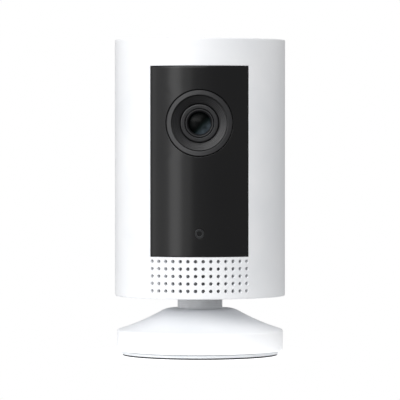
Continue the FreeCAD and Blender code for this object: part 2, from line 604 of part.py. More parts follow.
def make_ribbons():
    """Flat cables that join the power board and the lamp board to the main board."""
    power_z = (ribbon.power_z, ribbon.power_z + ribbon.thick)
    piece("power_ribbon", fuse(
        "power_ribbon",
        block("power_strip", wide(ribbon.half_x), (board.back, power.front), power_z),
        block("power_plug", wide(ribbon.plug_half_x), (board.back, board.back + ribbon.plug_thick),
              (ribbon.power_z - ribbon.plug_drop, ribbon.power_z + ribbon.plug_half_z)),
        block("power_plug_rear", wide(ribbon.plug_half_x), (power.front - ribbon.plug_thick, power.front),
              (ribbon.power_z - ribbon.plug_half_z, ribbon.power_z + ribbon.plug_half_z))))
    led_z = (ribbon.led_z, ribbon.led_z + ribbon.thick)
    piece("led_ribbon", fuse(
        "led_ribbon",
        block("led_strip", wide(ribbon.half_x), (leds.back, board.front), led_z),
        block("led_plug", wide(ribbon.plug_half_x), (leds.back, leds.back + ribbon.plug_thick),
              (ribbon.led_z - ribbon.plug_half_z, ribbon.led_z + ribbon.plug_half_z)),
        block("led_plug_rear", wide(ribbon.plug_half_x), (board.front - ribbon.plug_thick, board.front),
              (ribbon.led_z - ribbon.plug_half_z, ribbon.led_z + ribbon.plug_half_z))))


# ---------------------------------------------------------------- sound

def make_speaker():
    """The speaker behind the sound holes, its soft gasket, and the dust cloth against the shell."""
    outer = block("speaker_box", wide(speaker.half_x), (speaker.front, speaker.back),
                  (speaker.bottom, speaker.top))
    hollow = block("speaker_hollow", wide(speaker.half_x - speaker.wall),
                   (speaker.front - 1, speaker.back - speaker.wall),
                   (speaker.bottom + speaker.wall, speaker.top - speaker.wall))
    well = rod("speaker_well", speaker.magnet_r, speaker.back - 2 * speaker.wall, speaker.back + 1, "Y",
               (0, speaker.z))
    piece("speaker_frame", cut("speaker_frame", outer, hollow, well))
    dish = block("cone_plate", wide(speaker.half_x - speaker.wall),
                 (speaker.cone_front, speaker.cone_edge),
                 (speaker.bottom + speaker.wall, speaker.top - speaker.wall))
    bowl = rod("cone_bowl", speaker.cone_half_z, speaker.cone_edge - fit.loose, speaker.cone_back, "Y",
               (0, speaker.z))
    piece("speaker_cone", fuse("speaker_cone", dish, bowl))
    piece("speaker_magnet", rod("speaker_magnet", speaker.magnet_r, speaker.magnet_front,
                                speaker.magnet_back, "Y", (0, speaker.z)))
    band = common("gasket_band", tube("gasket_ring", speaker.gasket_outer, speaker.gasket_inner, 0,
                                      head.top),
                  block("gasket_block", wide(speaker.gasket_x), (-head.radius, -head.wall),
                        (speaker.gasket_bottom, speaker.gasket_top)))
    piece("speaker_gasket", cut("speaker_gasket", band,
                                block("gasket_mouth", wide(speaker.mouth_x), (-head.radius, -head.wall),
                                      (speaker.mouth_low, speaker.mouth_high))))
    piece("grille_mesh", common("grille_mesh", tube("mesh_ring", cloth.outer, cloth.inner, 0, head.top),
                                block("mesh_block", wide(cloth.half_x), (-head.radius, -head.wall),
                                      (cloth.bottom, cloth.top))))


# ---------------------------------------------------------------- frame and rear

def make_frame():
    """The moulded inner frame: two rails that stand on the cap, joined by bars, with arms to the front."""
    parts = []
    bores = []
    for side, sign in (("left", -1), ("right", 1)):
        def span(near, far):
            return (near * sign, far * sign) if sign > 0 else (far * sign, near * sign)
        depth = (frame.front, frame.back)
        parts.append(block("rail_" + side, span(frame.rail_in, frame.rail_out), depth,
                           (cap.top, frame.top)))
        parts.append(block("rail_foot_" + side, span(frame.foot_in, frame.rail_out), depth,
                           (cap.top, frame.foot_top)))
        for level, z in (("low", board.screw_low), ("high", board.screw_high)):
            parts.append(block("rail_tab_%s_%s" % (side, level),
                               span(frame.tab_in, frame.rail_in + fit.bite),
                               (frame.tab_front, frame.tab_back),
                               (z - frame.tab_half, z + frame.tab_half)))
            bores.append(rod("rail_bore_%s_%s" % (side, level), board.screw_r, frame.tab_front - 1,
                             board.screw_back, "Y", (board.screw_x * sign, z)))
        parts.append(block("frame_arm_" + side, span(frame.arm_in, frame.arm_out),
                           (leds.back, frame.back), (frame.bar_low, frame.bar_high)))
        parts.append(block("frame_post_" + side, span(frame.arm_in, frame.arm_out),
                           (leds.back, leds.back + 2), (frame.bar_low, frame.arm_top)))
        parts.append(block("frame_prong_" + side, span(frame.prong_in, frame.prong_out),
                           (status.board_back, frame.back), (frame.bar_low, frame.bar_high)))
        parts.append(block("power_ledge_" + side, span(frame.arm_in, frame.arm_out),
                           (frame.front, power.front), (frame.bar_low, frame.bar_high)))
        bores.append(rod("foot_bore_" + side, cap.screw_r, cap.top - 1, cap.screw_top, "Z",
                         (cap.screw_x * sign, cap.screw_y)))
    parts.append(block("frame_top_bar", wide(frame.rail_out), (frame.front, frame.back),
                       (frame.bar_top, frame.top)))
    parts.append(block("frame_low_bar", wide(frame.rail_out), (frame.front, frame.back),
                       (frame.bar_low, frame.bar_high)))
    piece("inner_frame", cut("inner_frame", fuse("frame_solid", *parts), *bores))
    fins = []
    for side, sign in (("left", -1), ("right", 1)):
        near = frame.rail_out * sign
        far = (frame.rail_out + antenna.thick) * sign
        fins.append(block("antenna_" + side, (near, far) if sign > 0 else (far, near),
                          (antenna.front, antenna.back), (antenna.bottom, antenna.top)))
    piece("antennas", bunch("antennas", *fins))


def make_rear():
    """The power board with its socket and the reset switch, and the button that presses the switch."""
    piece("power_board", block("power_board", wide(power.half_x), (power.front, power.back),
                               (power.bottom, power.top)))
    low = power.jack_z - power.jack_half_z
    high = power.jack_z + power.jack_half_z
    can_outer = block("jack_outer", wide(power.jack_half_x), (power.back, power.jack_face), (low, high))
    can_inner = block("jack_inner", wide(power.jack_half_x - power.jack_wall),
                      (power.jack_depth, power.jack_face + 1),
                      (low + power.jack_wall, high - power.jack_wall))
    tongue = block("jack_tongue", wide(power.tongue_half_x),
                   (power.jack_depth - fit.seat, power.jack_face - 1),
                   (power.jack_z - power.tongue_half_z, power.jack_z + power.tongue_half_z))
    piece("usb_socket", fuse("usb_socket", cut("jack_can", can_outer, can_inner), tongue))
    case = block("switch_case", wide(button.switch_half), (power.back, button.switch_back),
                 (button.z - button.switch_half, button.z + button.switch_half))
    plunger = rod("switch_plunger", button.plunger_r, button.switch_back - fit.bite, button.plunger_back, "Y",
                  (0, button.z))
    piece("reset_switch", fuse("reset_switch", case, plunger))
    piece("reset_button", turned("reset_button", "Y", [
        (0, button.nub_front), (button.nub_r, button.nub_front), (button.nub_r, button.lip_front),
        (button.lip_r, button.lip_front), (button.lip_r, button.lip_back),
        (button.stem_r, button.lip_back), (button.stem_r, button.face), (0, button.face)], None,
        button.z))


# ---------------------------------------------------------------- build and write

make_foot()
make_base()
make_neck()
make_tilt_joint()
make_shell()
make_window()
make_cap()
make_status_light()
make_lens()
make_ircut()
make_main_board()
make_night_lights()
make_ribbons()
make_speaker()
make_frame()
make_rear()
doc.recompute()

for item in doc.Objects:
    if "Invalid" in item.State or "Error" in item.State:
        raise SystemExit("%s did not build: %s" % (item.Name, item.State))
for item in pieces:
    if item.Shape.isNull() or not item.Shape.isValid():
        raise SystemExit("%s has no valid shape" % item.Label)
os.makedirs("parts", exist_ok=True)
for item in pieces:
    item.Shape.exportStep("parts/%s.step" % item.Label)
    print("%-20s %2d solid(s) %9.2f mm3" % (item.Label, len(item.Shape.Solids), item.Shape.Volume))
print("%d nodes written" % len(pieces))
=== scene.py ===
import json
import math

import bpy
import numpy as np
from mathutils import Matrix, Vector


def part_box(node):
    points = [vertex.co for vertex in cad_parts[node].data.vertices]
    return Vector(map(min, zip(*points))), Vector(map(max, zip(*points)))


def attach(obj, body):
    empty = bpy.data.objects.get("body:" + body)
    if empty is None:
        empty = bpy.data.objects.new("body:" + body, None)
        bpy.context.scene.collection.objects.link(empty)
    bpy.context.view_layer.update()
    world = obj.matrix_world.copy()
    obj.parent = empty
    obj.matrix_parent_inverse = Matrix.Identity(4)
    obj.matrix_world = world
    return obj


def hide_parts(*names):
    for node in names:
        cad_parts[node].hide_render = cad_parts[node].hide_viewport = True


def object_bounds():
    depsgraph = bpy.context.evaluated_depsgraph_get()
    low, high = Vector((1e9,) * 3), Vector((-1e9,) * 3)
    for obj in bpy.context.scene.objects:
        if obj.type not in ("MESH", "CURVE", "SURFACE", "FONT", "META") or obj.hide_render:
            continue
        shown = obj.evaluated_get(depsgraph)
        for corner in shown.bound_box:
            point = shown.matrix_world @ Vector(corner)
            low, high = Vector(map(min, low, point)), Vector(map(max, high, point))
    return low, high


# A small indoor security camera: white moulded head with a dark window, on a neck that turns and
# tilts on a round stand. The outer skins are worked out here; the parts inside keep their own
# meshes.

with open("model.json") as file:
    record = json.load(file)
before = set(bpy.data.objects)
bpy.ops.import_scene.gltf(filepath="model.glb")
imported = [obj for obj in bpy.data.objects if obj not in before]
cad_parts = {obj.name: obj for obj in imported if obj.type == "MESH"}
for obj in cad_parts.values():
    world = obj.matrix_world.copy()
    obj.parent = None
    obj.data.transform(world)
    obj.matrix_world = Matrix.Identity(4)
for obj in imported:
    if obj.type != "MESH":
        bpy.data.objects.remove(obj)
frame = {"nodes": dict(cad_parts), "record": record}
cadLow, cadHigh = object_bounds()
mm = 0.001
print("frame loaded:", len(frame["nodes"]), "nodes")


# places and sizes are taken from the frame, in millimetres
def boxOf(node):
    low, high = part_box(node)
    return np.array(low) / mm, np.array(high) / mm


shellLow, shellHigh = boxOf("body_shell")
windowLow, windowHigh = boxOf("front_window")
bezelLow, bezelHigh = boxOf("lens_bezel")
barrelLow, barrelHigh = boxOf("lens_barrel")
baseLow, baseHigh = boxOf("base_shell")
lensLow, lensHigh = boxOf("front_lens")
ringLow, ringHigh = boxOf("lens_retaining_ring")
statusLow, statusHigh = boxOf("status_light_ring")
buttonLow, buttonHigh = boxOf("reset_button")
socketLow, socketHigh = boxOf("usb_socket")
headRadius = shellHigh[0]
lensZ = (bezelLow[2] + bezelHigh[2]) / 2
statusZ = (statusLow[2] + statusHigh[2]) / 2
buttonZ = (buttonLow[2] + buttonHigh[2]) / 2
socketZ = (socketLow[2] + socketHigh[2]) / 2


# the quads between each ring of point numbers in near and the same ring in far
def ringQuads(near, far):
    return np.stack([near, np.roll(near, -1, 1), np.roll(far, -1, 1), far], -1).reshape(-1, 4)


# every surface is (points, faces), and a face whose last two corners are the same is a triangle;
# here each ring is joined to the next, a closed skin joins its last ring to its first, and an open
# one is drawn in to the middle point of each end ring
def skinRings(rings, closed=False):
    count, around = rings.shape[:2]
    points = rings.reshape(-1, 3)
    index = np.arange(count * around).reshape(count, around)
    if closed:
        index = np.vstack([index, index[:1]])
    faces = ringQuads(index[:-1], index[1:])
    if closed:
        return points, faces
    middles = np.array([rings[0].mean(0), rings[-1].mean(0)])
    start, end = len(points), len(points) + 1
    first, last = index[0], index[-1]
    toStart, toEnd = np.full(around, start), np.full(around, end)
    fans = [np.stack([np.roll(first, -1), first, toStart, toStart], -1),
            np.stack([last, np.roll(last, -1), toEnd, toEnd], -1)]
    return np.vstack([points, middles]), np.vstack([faces, *fans])


# an outline of (radius, height) turned about an axis: x = r sin a, y = -r cos a, z = height for the
# Z axis; for the Y axis the height runs along Y and the circle stands up
def lathe(outline, around=128, axis="Z", centre=(0, 0, 0), closed=True):
    angle = np.linspace(0, 2 * np.pi, around, endpoint=False)
    radius, height = outline[:, 0, None], outline[:, 1, None]
    across, along = radius * np.sin(angle), radius * np.cos(angle)
    level = height + 0 * angle
    if axis == "Z":
        rings = np.stack([across, -along, level], -1)
    else:
        rings = np.stack([across, level, along], -1)
    return skinRings(rings + np.array(centre), closed)


# each corner of an outline gives way to an arc that touches both its sides: the arc's centre is on
# the corner's bisector, at radius / sin(half the corner's angle); a point just past each end keeps
# flats flat
def rounded(corners, radii, steps=6, closed=True):
    corners = np.array(corners, float)
    out = []
    total = len(corners)
    for i, corner in enumerate(corners):
        radius = radii[i] if isinstance(radii, (list, tuple)) else radii
        if radius == 0 or (not closed and i in (0, total - 1)):
            out.append(corner[None])
            continue
        before, after = corners[i - 1] - corner, corners[(i + 1) % total] - corner
        reachBefore, reachAfter = np.linalg.norm(before), np.linalg.norm(after)
        before, after = before / reachBefore, after / reachAfter
        half = math.acos(np.clip(before @ after, -1, 1)) / 2
        touch = radius / math.tan(half)
        bisector = (before + after) / np.linalg.norm(before + after)
        middle = corner + bisector * radius / math.sin(half)
        sweep = math.pi - 2 * half
        t = np.linspace(0, sweep, steps + 1)[:, None]
        start, end = corner + before * touch - middle, corner + after * touch - middle
        arc = middle + (np.sin(sweep - t) * start + np.sin(t) * end) / math.sin(sweep)
        spareBefore, spareAfter = (reachBefore - touch) * 0.3, (reachAfter - touch) * 0.3
        lead = corner + before * (touch + min(radius * 0.5, spareBefore))
        tail = corner + after * (touch + min(radius * 0.5, spareAfter))
        out.append(np.vstack([lead, arc, tail]))
    return np.vstack(out)


# an arc from start to end that bulges to the right of the way it runs when the radius is positive
def arcBetween(start, end, radius, steps=16):
    start, end = np.array(start, float), np.array(end, float)
    chord = end - start
    half = np.linalg.norm(chord) / 2
    right = np.array([chord[1], -chord[0]]) / (2 * half)
    middle = (start + end) / 2 - right * math.copysign(math.sqrt(radius ** 2 - half ** 2), radius)
    sweep = 2 * math.asin(half / abs(radius))
    t = np.linspace(0, sweep, steps + 1)[:, None]
    fromStart, fromEnd = np.sin(sweep - t) * (start - middle), np.sin(t) * (end - middle)
    return middle + (fromStart + fromEnd) / math.sin(sweep)


# the outline of a rounded rectangle seen from its middle: a direction is scaled onto the rectangle,
# held inside the straight parts, and the rest of the way is one corner radius
def roundedRim(toward, span, half, corner):
    scaled = toward / span * half
    core = np.clip(scaled, -(half - corner), half - corner)
    out = scaled - core
    return core + out / np.linalg.norm(out, axis=1, keepdims=True) * corner


# a grid of (u, v) points; where a hole is, its block of cells gives way to rings that run from the
# block's border to the hole's rounded rim, which is set back by the hole's edge so that the edge
# can roll over
def gridSkin(columns, rows, cut=None, holes=(), wraps=False):
    u, v = np.meshgrid(columns, rows, indexing="ij")
    flat = np.stack([u.ravel(), v.ravel()], -1)
    index = np.arange(u.size).reshape(u.shape)
    across = np.vstack([index, index[:1]]) if wraps else index
    keep = np.ones((across.shape[0] - 1, across.shape[1] - 1), bool)
    if cut is not None:
        keep[cut[0]:cut[1], cut[2]:cut[3]] = False
    edge = np.zeros(len(flat))
    ringPoints, ringFaces, ringEdges = [flat], [], [edge]
    used = len(flat)
    for hole in holes:
        i0, i1, j0, j1 = hole["block"]
        keep[i0:i1, j0:j1] = False
        border = np.concatenate([index[i0:i1, j0], index[i1, j0:j1],
                                 index[i1:i0:-1, j1], index[i0, j1:j0:-1]])
        middle = np.array(hole["middle"])
        toward = flat[border] - middle
        span = np.abs(toward).max(0)
        half = np.array(hole["half"])
        back, lead = hole["edge"], hole.get("lead", hole["edge"])
        rim = roundedRim(toward, span, half + back, hole["corner"] + back)
        outer = roundedRim(toward, span, half + back + lead, hole["corner"] + back + lead)
        mix = np.linspace(0, 1, hole.get("rings", 1) + 1)[1:, None, None]
        loops = np.concatenate([toward * (1 - mix) + outer * mix, rim[None]]) + middle
        added = len(loops) * len(border)
        ids = np.vstack([border, used + np.arange(added).reshape(len(loops), -1)])
        ringFaces.append(ringQuads(ids[:-1], ids[1:]))
        ringPoints.append(loops.reshape(-1, 2))
        ringEdges.append(np.full(added, back))
        used += added
    a, b = across[:-1, :-1], across[1:, :-1]
    c, d = across[1:, 1:], across[:-1, 1:]
    faces = np.vstack([np.stack([a, b, c, d], -1)[keep], *ringFaces])
    wanted = np.unique(faces)
    renumber = np.zeros(used, int)
    renumber[wanted] = np.arange(len(wanted))
    return np.vstack(ringPoints)[wanted], renumber[faces], np.concatenate(ringEdges)[wanted]


# two skins with the same faces become one solid: every open edge rolls over by a quarter circle of
# its own radius, runs straight down, and rolls in again at the back
def rolledSolid(outer, inner, faces, edge, steps=3):
    total = len(outer)
    ends = np.stack([faces, np.roll(faces, -1, 1)], -1).reshape(-1, 2)
    ends = ends[ends[:, 0] != ends[:, 1]]
    codes = ends[:, 0] * total + ends[:, 1]
    openEdges = ends[~np.isin(codes, ends[:, 1] * total + ends[:, 0])]
    here, following = openEdges[:, 0], openEdges[:, 1]
    down = inner - outer
    down = down / np.linalg.norm(down, axis=1, keepdims=True)
    run = outer[following] - outer[here]
    run = run / np.linalg.norm(run, axis=1, keepdims=True)
    aside = np.cross(run, -down[here])
    asideBefore = np.zeros((total, 3))
    asideAfter = np.zeros((total, 3))
    asideAfter[here] = aside
    asideBefore[following] = np.cross(run, -down[following])
    shared = (asideBefore * asideAfter).sum(1, keepdims=True)
    lean = ((asideBefore + asideAfter) / (1 + shared))[here]
    radius = edge[here, None]
    turn = np.linspace(0, np.pi / 2, steps + 1)[1:]
    drop = down[here]
    rings = [outer[here] + radius * (math.sin(t) * lean + (1 - math.cos(t)) * drop) for t in turn]
    rings += [inner[here] + radius * (math.sin(t) * lean - (1 - math.cos(t)) * drop)
              for t in turn[::-1]]
    place = np.zeros(total, int)
    place[here] = np.arange(len(here))
    starts = [2 * total + n * len(here) for n in range(len(rings))]
    ids = [here, *(first + place[here] for first in starts), here + total]
    nextIds = [following, *(first + place[following] for first in starts), following + total]
    walls = [np.stack([nextIds[n], ids[n], ids[n + 1], nextIds[n + 1]], -1)
             for n in range(len(ids) - 1)]
    back = faces[:, [1, 0, 3, 2]] + total
    return np.vstack([outer, inner, *rings]), np.vstack([faces, back, *walls])


# six times the volume is the sum over triangles of a . (b x c); it is negative when a skin is
# inside out
def facingOut(points, faces):
    a, b, c, d = (points[faces[:, n]] for n in range(4))
    volume = (a * np.cross(b, c)).sum() + (a * np.cross(c, d)).sum()
    return points, faces if volume > 0 else faces[:, [1, 0, 3, 2]]


sharpTurn = math.radians(38)


# puts surfaces together into one finished object, hangs it on its body and hides the frame nodes
# that it replaces; its slot says which material it gets
def buildPiece(name, surfaces, body, nodes, slotName):
    points, faces, used = [], [], 0
    for surface in surfaces:
        somePoints, someFaces = facingOut(*surface)
        points.append(somePoints)
        faces.append(someFaces + used)
        used += len(somePoints)
    faces = np.vstack(faces)
    wanted, packed = np.unique(faces, return_inverse=True)
    points, faces = np.vstack(points)[wanted] * mm, packed.reshape(faces.shape)
    pointed = faces[:, 2] == faces[:, 3]
    mesh = bpy.data.meshes.new(name)
    corners = faces[~pointed].tolist() + faces[pointed, :3].tolist()
    mesh.from_pydata(points.tolist(), [], corners)
    mesh.polygons.foreach_set("use_smooth", np.ones(len(mesh.polygons), bool))
    mesh.validate()
    mesh.update()
    mesh.set_sharp_from_angle(angle=sharpTurn)
    mesh.materials.append(made[finishes[slotName]])
    piece = bpy.data.objects.new(name, mesh)
    bpy.context.scene.collection.objects.link(piece)
    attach(piece, body)
    if nodes:
        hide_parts(*nodes)
    return piece


# each channel up to 0.04045 is divided by 12.92, and the rest follow a power of 2.4
def linear(code):
    channels = np.array([int(code[n:n + 2], 16) for n in (1, 3, 5)]) / 255
    low, high = channels / 12.92, ((channels + 0.055) / 1.055) ** 2.4
    return (*np.where(channels <= 0.04045, low, high).tolist(), 1.0)


# adds one node with its settings, its socket values, and the links into it
def addNode(tree, kind, values=None, links=None, **settings):
    node = tree.nodes.new(kind)
    for name, value in settings.items():
        setattr(node, name, value)
    for socket, value in (values or {}).items():
        node.inputs[socket].default_value = value
    for socket, source in (links or {}).items():
        tree.links.new(source, node.inputs[socket])
    return node


def newMaterial(name, shader):
    material = bpy.data.materials.new(name)
    material.use_nodes = True
    tree = material.node_tree
    tree.nodes.clear()
    surface = addNode(tree, "ShaderNodeBsdfPrincipled", shader)
    addNode(tree, "ShaderNodeOutputMaterial", None, {"Surface": surface.outputs["BSDF"]})
    place = addNode(tree, "ShaderNodeTexCoord").outputs["Object"]
    return material, tree, surface, place


# a pattern's scale for a feature of the size given in millimetres
def perMm(size):
    return 1 / (size * mm)


# a factor from low to high turned into a colour between two hex colours
def tint(tree, surface, factor, dark, light, low=0.3, high=0.7):
    ramp = addNode(tree, "ShaderNodeValToRGB", None, {"Fac": factor})
    ramp.color_ramp.elements[0].position = low
    ramp.color_ramp.elements[0].color = linear(dark)
    ramp.color_ramp.elements[1].position = high
    ramp.color_ramp.elements[1].color = linear(light)
    tree.links.new(ramp.outputs["Color"], surface.inputs["Base Color"])
    return ramp


# a cloud of noise with features of the size given in millimetres
def noise(tree, place, size, detail=2.0):
    return addNode(tree, "ShaderNodeTexNoise", {"Scale": perMm(size), "Detail": detail},
                   {"Vector": place}).outputs["Fac"]


# parallel lines or rings every size millimetres: a wave repeats each pi / 10 of its scaled length
def waves(tree, place, size, values=None, **settings):
    scale = math.pi / 10 * perMm(size)
    return addNode(tree, "ShaderNodeTexWave", {"Scale": scale, **(values or {})},
                   {"Vector": place}, **settings).outputs["Fac"]


def combine(tree, operation, first, second):
    return addNode(tree, "ShaderNodeMath", None, {0: first, 1: second},
                   operation=operation).outputs["Value"]


def rough(tree, surface, factor, low, high):
    spread = addNode(tree, "ShaderNodeMapRange", {"To Min": low, "To Max": high},
                     {"Value": factor})
    tree.links.new(spread.outputs["Result"], surface.inputs["Roughness"])


def bump(tree, surface, height, depth, strength):
    relief = addNode(tree, "ShaderNodeBump", {"Strength": strength, "Distance": depth * mm},
                     {"Height": height})
    tree.links.new(relief.outputs["Normal"], surface.inputs["Normal"])


# moulded plastic, rubber, film or foam: cloudy colour over broad patches, and a fine grain from the
# tool
def mouldedMaterial(name, spec):
    material, tree, surface, place = newMaterial(name, {
        "IOR": spec["ior"], "Specular IOR Level": spec.get("gloss", 0.5)})
    grain = noise(tree, place, spec["grainMm"])
    tint(tree, surface, noise(tree, place, spec["cloudMm"], 3.0), *spec["colours"])
    rough(tree, surface, grain, *spec["roughness"])
    bump(tree, surface, grain, spec["depthMm"], spec["relief"])
    return material


# drawn, turned or rolled metal: fine parallel lines along one axis, and a slow change of brightness
def metalMaterial(name, spec):
    material, tree, surface, place = newMaterial(name, {"Metallic": 1.0})
    stretch = addNode(tree, "ShaderNodeMapping", {"Scale": spec["stretch"]}, {"Vector": place})
    lines = noise(tree, stretch.outputs["Vector"], spec["lineMm"], 4.0)
    tint(tree, surface, lines, *spec["colours"])
    rough(tree, surface, lines, *spec["roughness"])
    bump(tree, surface, lines, spec["depthMm"], spec["relief"])
    return material


moulded = {
    # ABS blend, moulded in a spark-eroded tool: near white and satin, with a grain too fine to
    # catch the eye
    "moulded white ABS": {
        "colours": ("#eceef1", "#f3f4f6"), "cloudMm": 14, "grainMm": 0.28, "depthMm": 0.004,
        "relief": 0.10, "roughness": (0.40, 0.50), "ior": 1.49, "gloss": 0.42},
    # ABS again, greyer and duller, because the plate is hidden in use
    "moulded grey ABS": {
        "colours": ("#ced1d4", "#d8dadc"), "cloudMm": 9, "grainMm": 0.35, "depthMm": 0.006,
        "relief": 0.15, "roughness": (0.45, 0.58), "ior": 1.49},
    # silicone rubber, pressed: dark and dull, dusty in patches
    "pressed silicone rubber": {
        "colours": ("#1c1c1d", "#2a2a2b"), "cloudMm": 5, "grainMm": 0.4, "depthMm": 0.02,
        "relief": 0.3, "roughness": (0.7, 0.85), "ior": 1.41},
    # polycarbonate with a fine etched grain: a grey-black that takes broad soft light
    "etched black polycarbonate": {
        "colours": ("#1d1d1f", "#232325"), "cloudMm": 3, "grainMm": 0.12, "depthMm": 0.006,
        "relief": 0.25, "roughness": (0.42, 0.52), "ior": 1.55},
    # glass-filled nylon for the frame inside: charcoal, slightly mottled by the fibres
    "moulded glass-filled nylon": {
        "colours": ("#232426", "#303134"), "cloudMm": 1.5, "grainMm": 0.25, "depthMm": 0.012,
        "relief": 0.3, "roughness": (0.5, 0.65), "ior": 1.53},
    # moulded liquid crystal polymer for the holder and the filter changer: plain black with flow
    # marks
    "moulded black polymer": {
        "colours": ("#18181a", "#232326"), "cloudMm": 2.5, "grainMm": 0.3, "depthMm": 0.006,
        "relief": 0.2, "roughness": (0.38, 0.55), "ior": 1.6},
    # nylon washers, punched: milky and a little waxy
    "punched nylon": {
        "colours": ("#d8d5c8", "#e4e1d6"), "cloudMm": 2, "grainMm": 0.3, "depthMm": 0.004,
        "relief": 0.1, "roughness": (0.3, 0.42), "ior": 1.53},
    # urethane foam, cut: charcoal with open pores
    "cut urethane foam": {
        "colours": ("#141415", "#2c2c2e"), "cloudMm": 0.5, "grainMm": 0.35, "depthMm": 0.08,
        "relief": 0.7, "roughness": (0.85, 0.95), "ior": 1.45},
    # epoxy chip packages, transfer moulded: grey-black with a fine pepper
    "moulded epoxy": {
        "colours": ("#1d1e20", "#26272a"), "cloudMm": 0.6, "grainMm": 0.1, "depthMm": 0.004,
        "relief": 0.3, "roughness": (0.45, 0.6), "ior": 1.57},
    # lamp packages: white polyphthalamide with a clear silicone dome
    "moulded lamp package": {
        "colours": ("#d9d7cc", "#e9e7de"), "cloudMm": 1.2, "grainMm": 0.2, "depthMm": 0.003,
        "relief": 0.1, "roughness": (0.2, 0.35), "ior": 1.5},
    # polyimide film over copper: amber, with the tracks' lines showing through
    "laminated polyimide film": {
        "colours": ("#8a4f16", "#b06e25"), "cloudMm": 0.8, "grainMm": 0.4, "depthMm": 0.004,
        "relief": 0.2, "roughness": (0.25, 0.4), "ior": 1.7},
    # formed polyester cone: smoky film with a soft sheen
    "formed polyester film": {
        "colours": ("#26272a", "#34363a"), "cloudMm": 1.6, "grainMm": 0.5, "depthMm": 0.01,
        "relief": 0.2, "roughness": (0.3, 0.4), "ior": 1.6},
    # light pipe: smoky acrylic, polished, that shows as a faint grey ring
    "polished smoky acrylic": {
        "colours": ("#1e1f21", "#262729"), "cloudMm": 1.0, "grainMm": 0.3, "depthMm": 0.002,
        "relief": 0.05, "roughness": (0.25, 0.35), "ior": 1.49},
}

metals = {
    # zinc-plated steel, rolled: bluish grey with faint rolling lines
    "zinc-plated steel": {
        "colours": ("#a4a7aa", "#bfc2c4"), "lineMm": 0.25, "stretch": (1.0, 1.0, 6.0),
        "depthMm": 0.004, "relief": 0.2, "roughness": (0.28, 0.42)},
    # aluminium, stamped and brushed: pale, lined along its height
    "brushed aluminium": {
        "colours": ("#c3c6c9", "#d9dbdd"), "lineMm": 0.3, "stretch": (6.0, 6.0, 0.4),
        "depthMm": 0.005, "relief": 0.3, "roughness": (0.25, 0.4)},
    # nickel-plated magnet: warm bright grey
    "nickel-plated magnet": {
        "colours": ("#b5b1a6", "#cbc7bc"), "lineMm": 0.8, "stretch": (1.0, 1.0, 1.0),
        "depthMm": 0.003, "relief": 0.1, "roughness": (0.15, 0.25)},
    # lacquered copper wire, wound: red-brown with a line for each turn
    "wound copper wire": {
        "colours": ("#7c3a1c", "#c06a35"), "lineMm": 0.2, "stretch": (3.0, 0.3, 0.3),
        "depthMm": 0.05, "relief": 0.8, "roughness": (0.25, 0.4)},
}


# aluminium, turned and anodised black: rings from the cutting tool run round the line of sight and
# catch the light as arcs
def anodisedMaterial():
    material, tree, surface, place = newMaterial("black anodised aluminium", {
        "Metallic": 0.2, "IOR": 1.6})
    centred = addNode(tree, "ShaderNodeVectorMath", {1: (1.0, 0.0, 1.0)}, {0: place},
                      operation="MULTIPLY")
    shifted = addNode(tree, "ShaderNodeMapping", {"Location": (0, 0, -lensZ * mm)},
                      {"Vector": centred.outputs["Vector"]})
    rings = waves(tree, shifted.outputs["Vector"], 0.3, {"Distortion": 0.4, "Detail": 1.0},
                  wave_type="RINGS", rings_direction="SPHERICAL")
    fleck = noise(tree, place, 0.15)
    tint(tree, surface, fleck, "#161618", "#1c1c1f")
    rough(tree, surface, fleck, 0.26, 0.36)
    bump(tree, surface, rings, 0.01, 0.25)
    return material


# acrylic window over a black print, moulded and hard coated: nearly black, with a soft broad gloss
def windowMaterial():
    material, tree, surface, place = newMaterial("hard-coated black acrylic", {"IOR": 1.49})
    grain = noise(tree, place, 0.22, 3.0)
    tint(tree, surface, noise(tree, place, 18), "#08080a", "#0b0b0c")
    rough(tree, surface, grain, 0.18, 0.22)
    bump(tree, surface, grain, 0.002, 0.08)
    return material


# ground and coated front element: almost black to look into, with a painted blue-green reflection
# in its base colour that grows towards the lower right of the rim
def lensMaterial():
    material, tree, surface, place = newMaterial("coated optical glass", {
        "IOR": 1.5, "Roughness": 0.26, "Specular IOR Level": 0.06})
    shifted = addNode(tree, "ShaderNodeMapping", {
        "Location": (-0.4 * mm, 0.0, (-lensZ + 0.35) * mm)}, {"Vector": place})
    parts = addNode(tree, "ShaderNodeSeparateXYZ", None, {"Vector": shifted.outputs["Vector"]})
    # painted reflection: the base colour lightens towards the lower right of the rim, standing in
    # for light caught in the glass
    slant = combine(tree, "SUBTRACT", parts.outputs["X"], parts.outputs["Z"])
    paintedLightSide = addNode(tree, "ShaderNodeMapRange", {"From Min": -0.5 * mm, "From Max": 3.2 * mm},
                  {"Value": slant}).outputs["Result"]
    paintedBloom = combine(tree, "MULTIPLY", paintedLightSide, noise(tree, place, 2.2))
    ramp = tint(tree, surface, paintedBloom, "#040606", "#4e5860", 0.02, 0.52)
    teal = ramp.color_ramp.elements.new(0.16)
    teal.color = linear("#0d1615")
    return material


# infrared filter pane: cyan by transmission, magenta by reflection
def filterMaterial():
    material, tree, surface, place = newMaterial("coated filter glass", {
        "IOR": 1.52, "Roughness": 0.05, "Transmission Weight": 0.6, "Coat Weight": 0.6})
    tint(tree, surface, noise(tree, place, 3, 1.0), "#6fb5bd", "#9ad0cf")
    return material


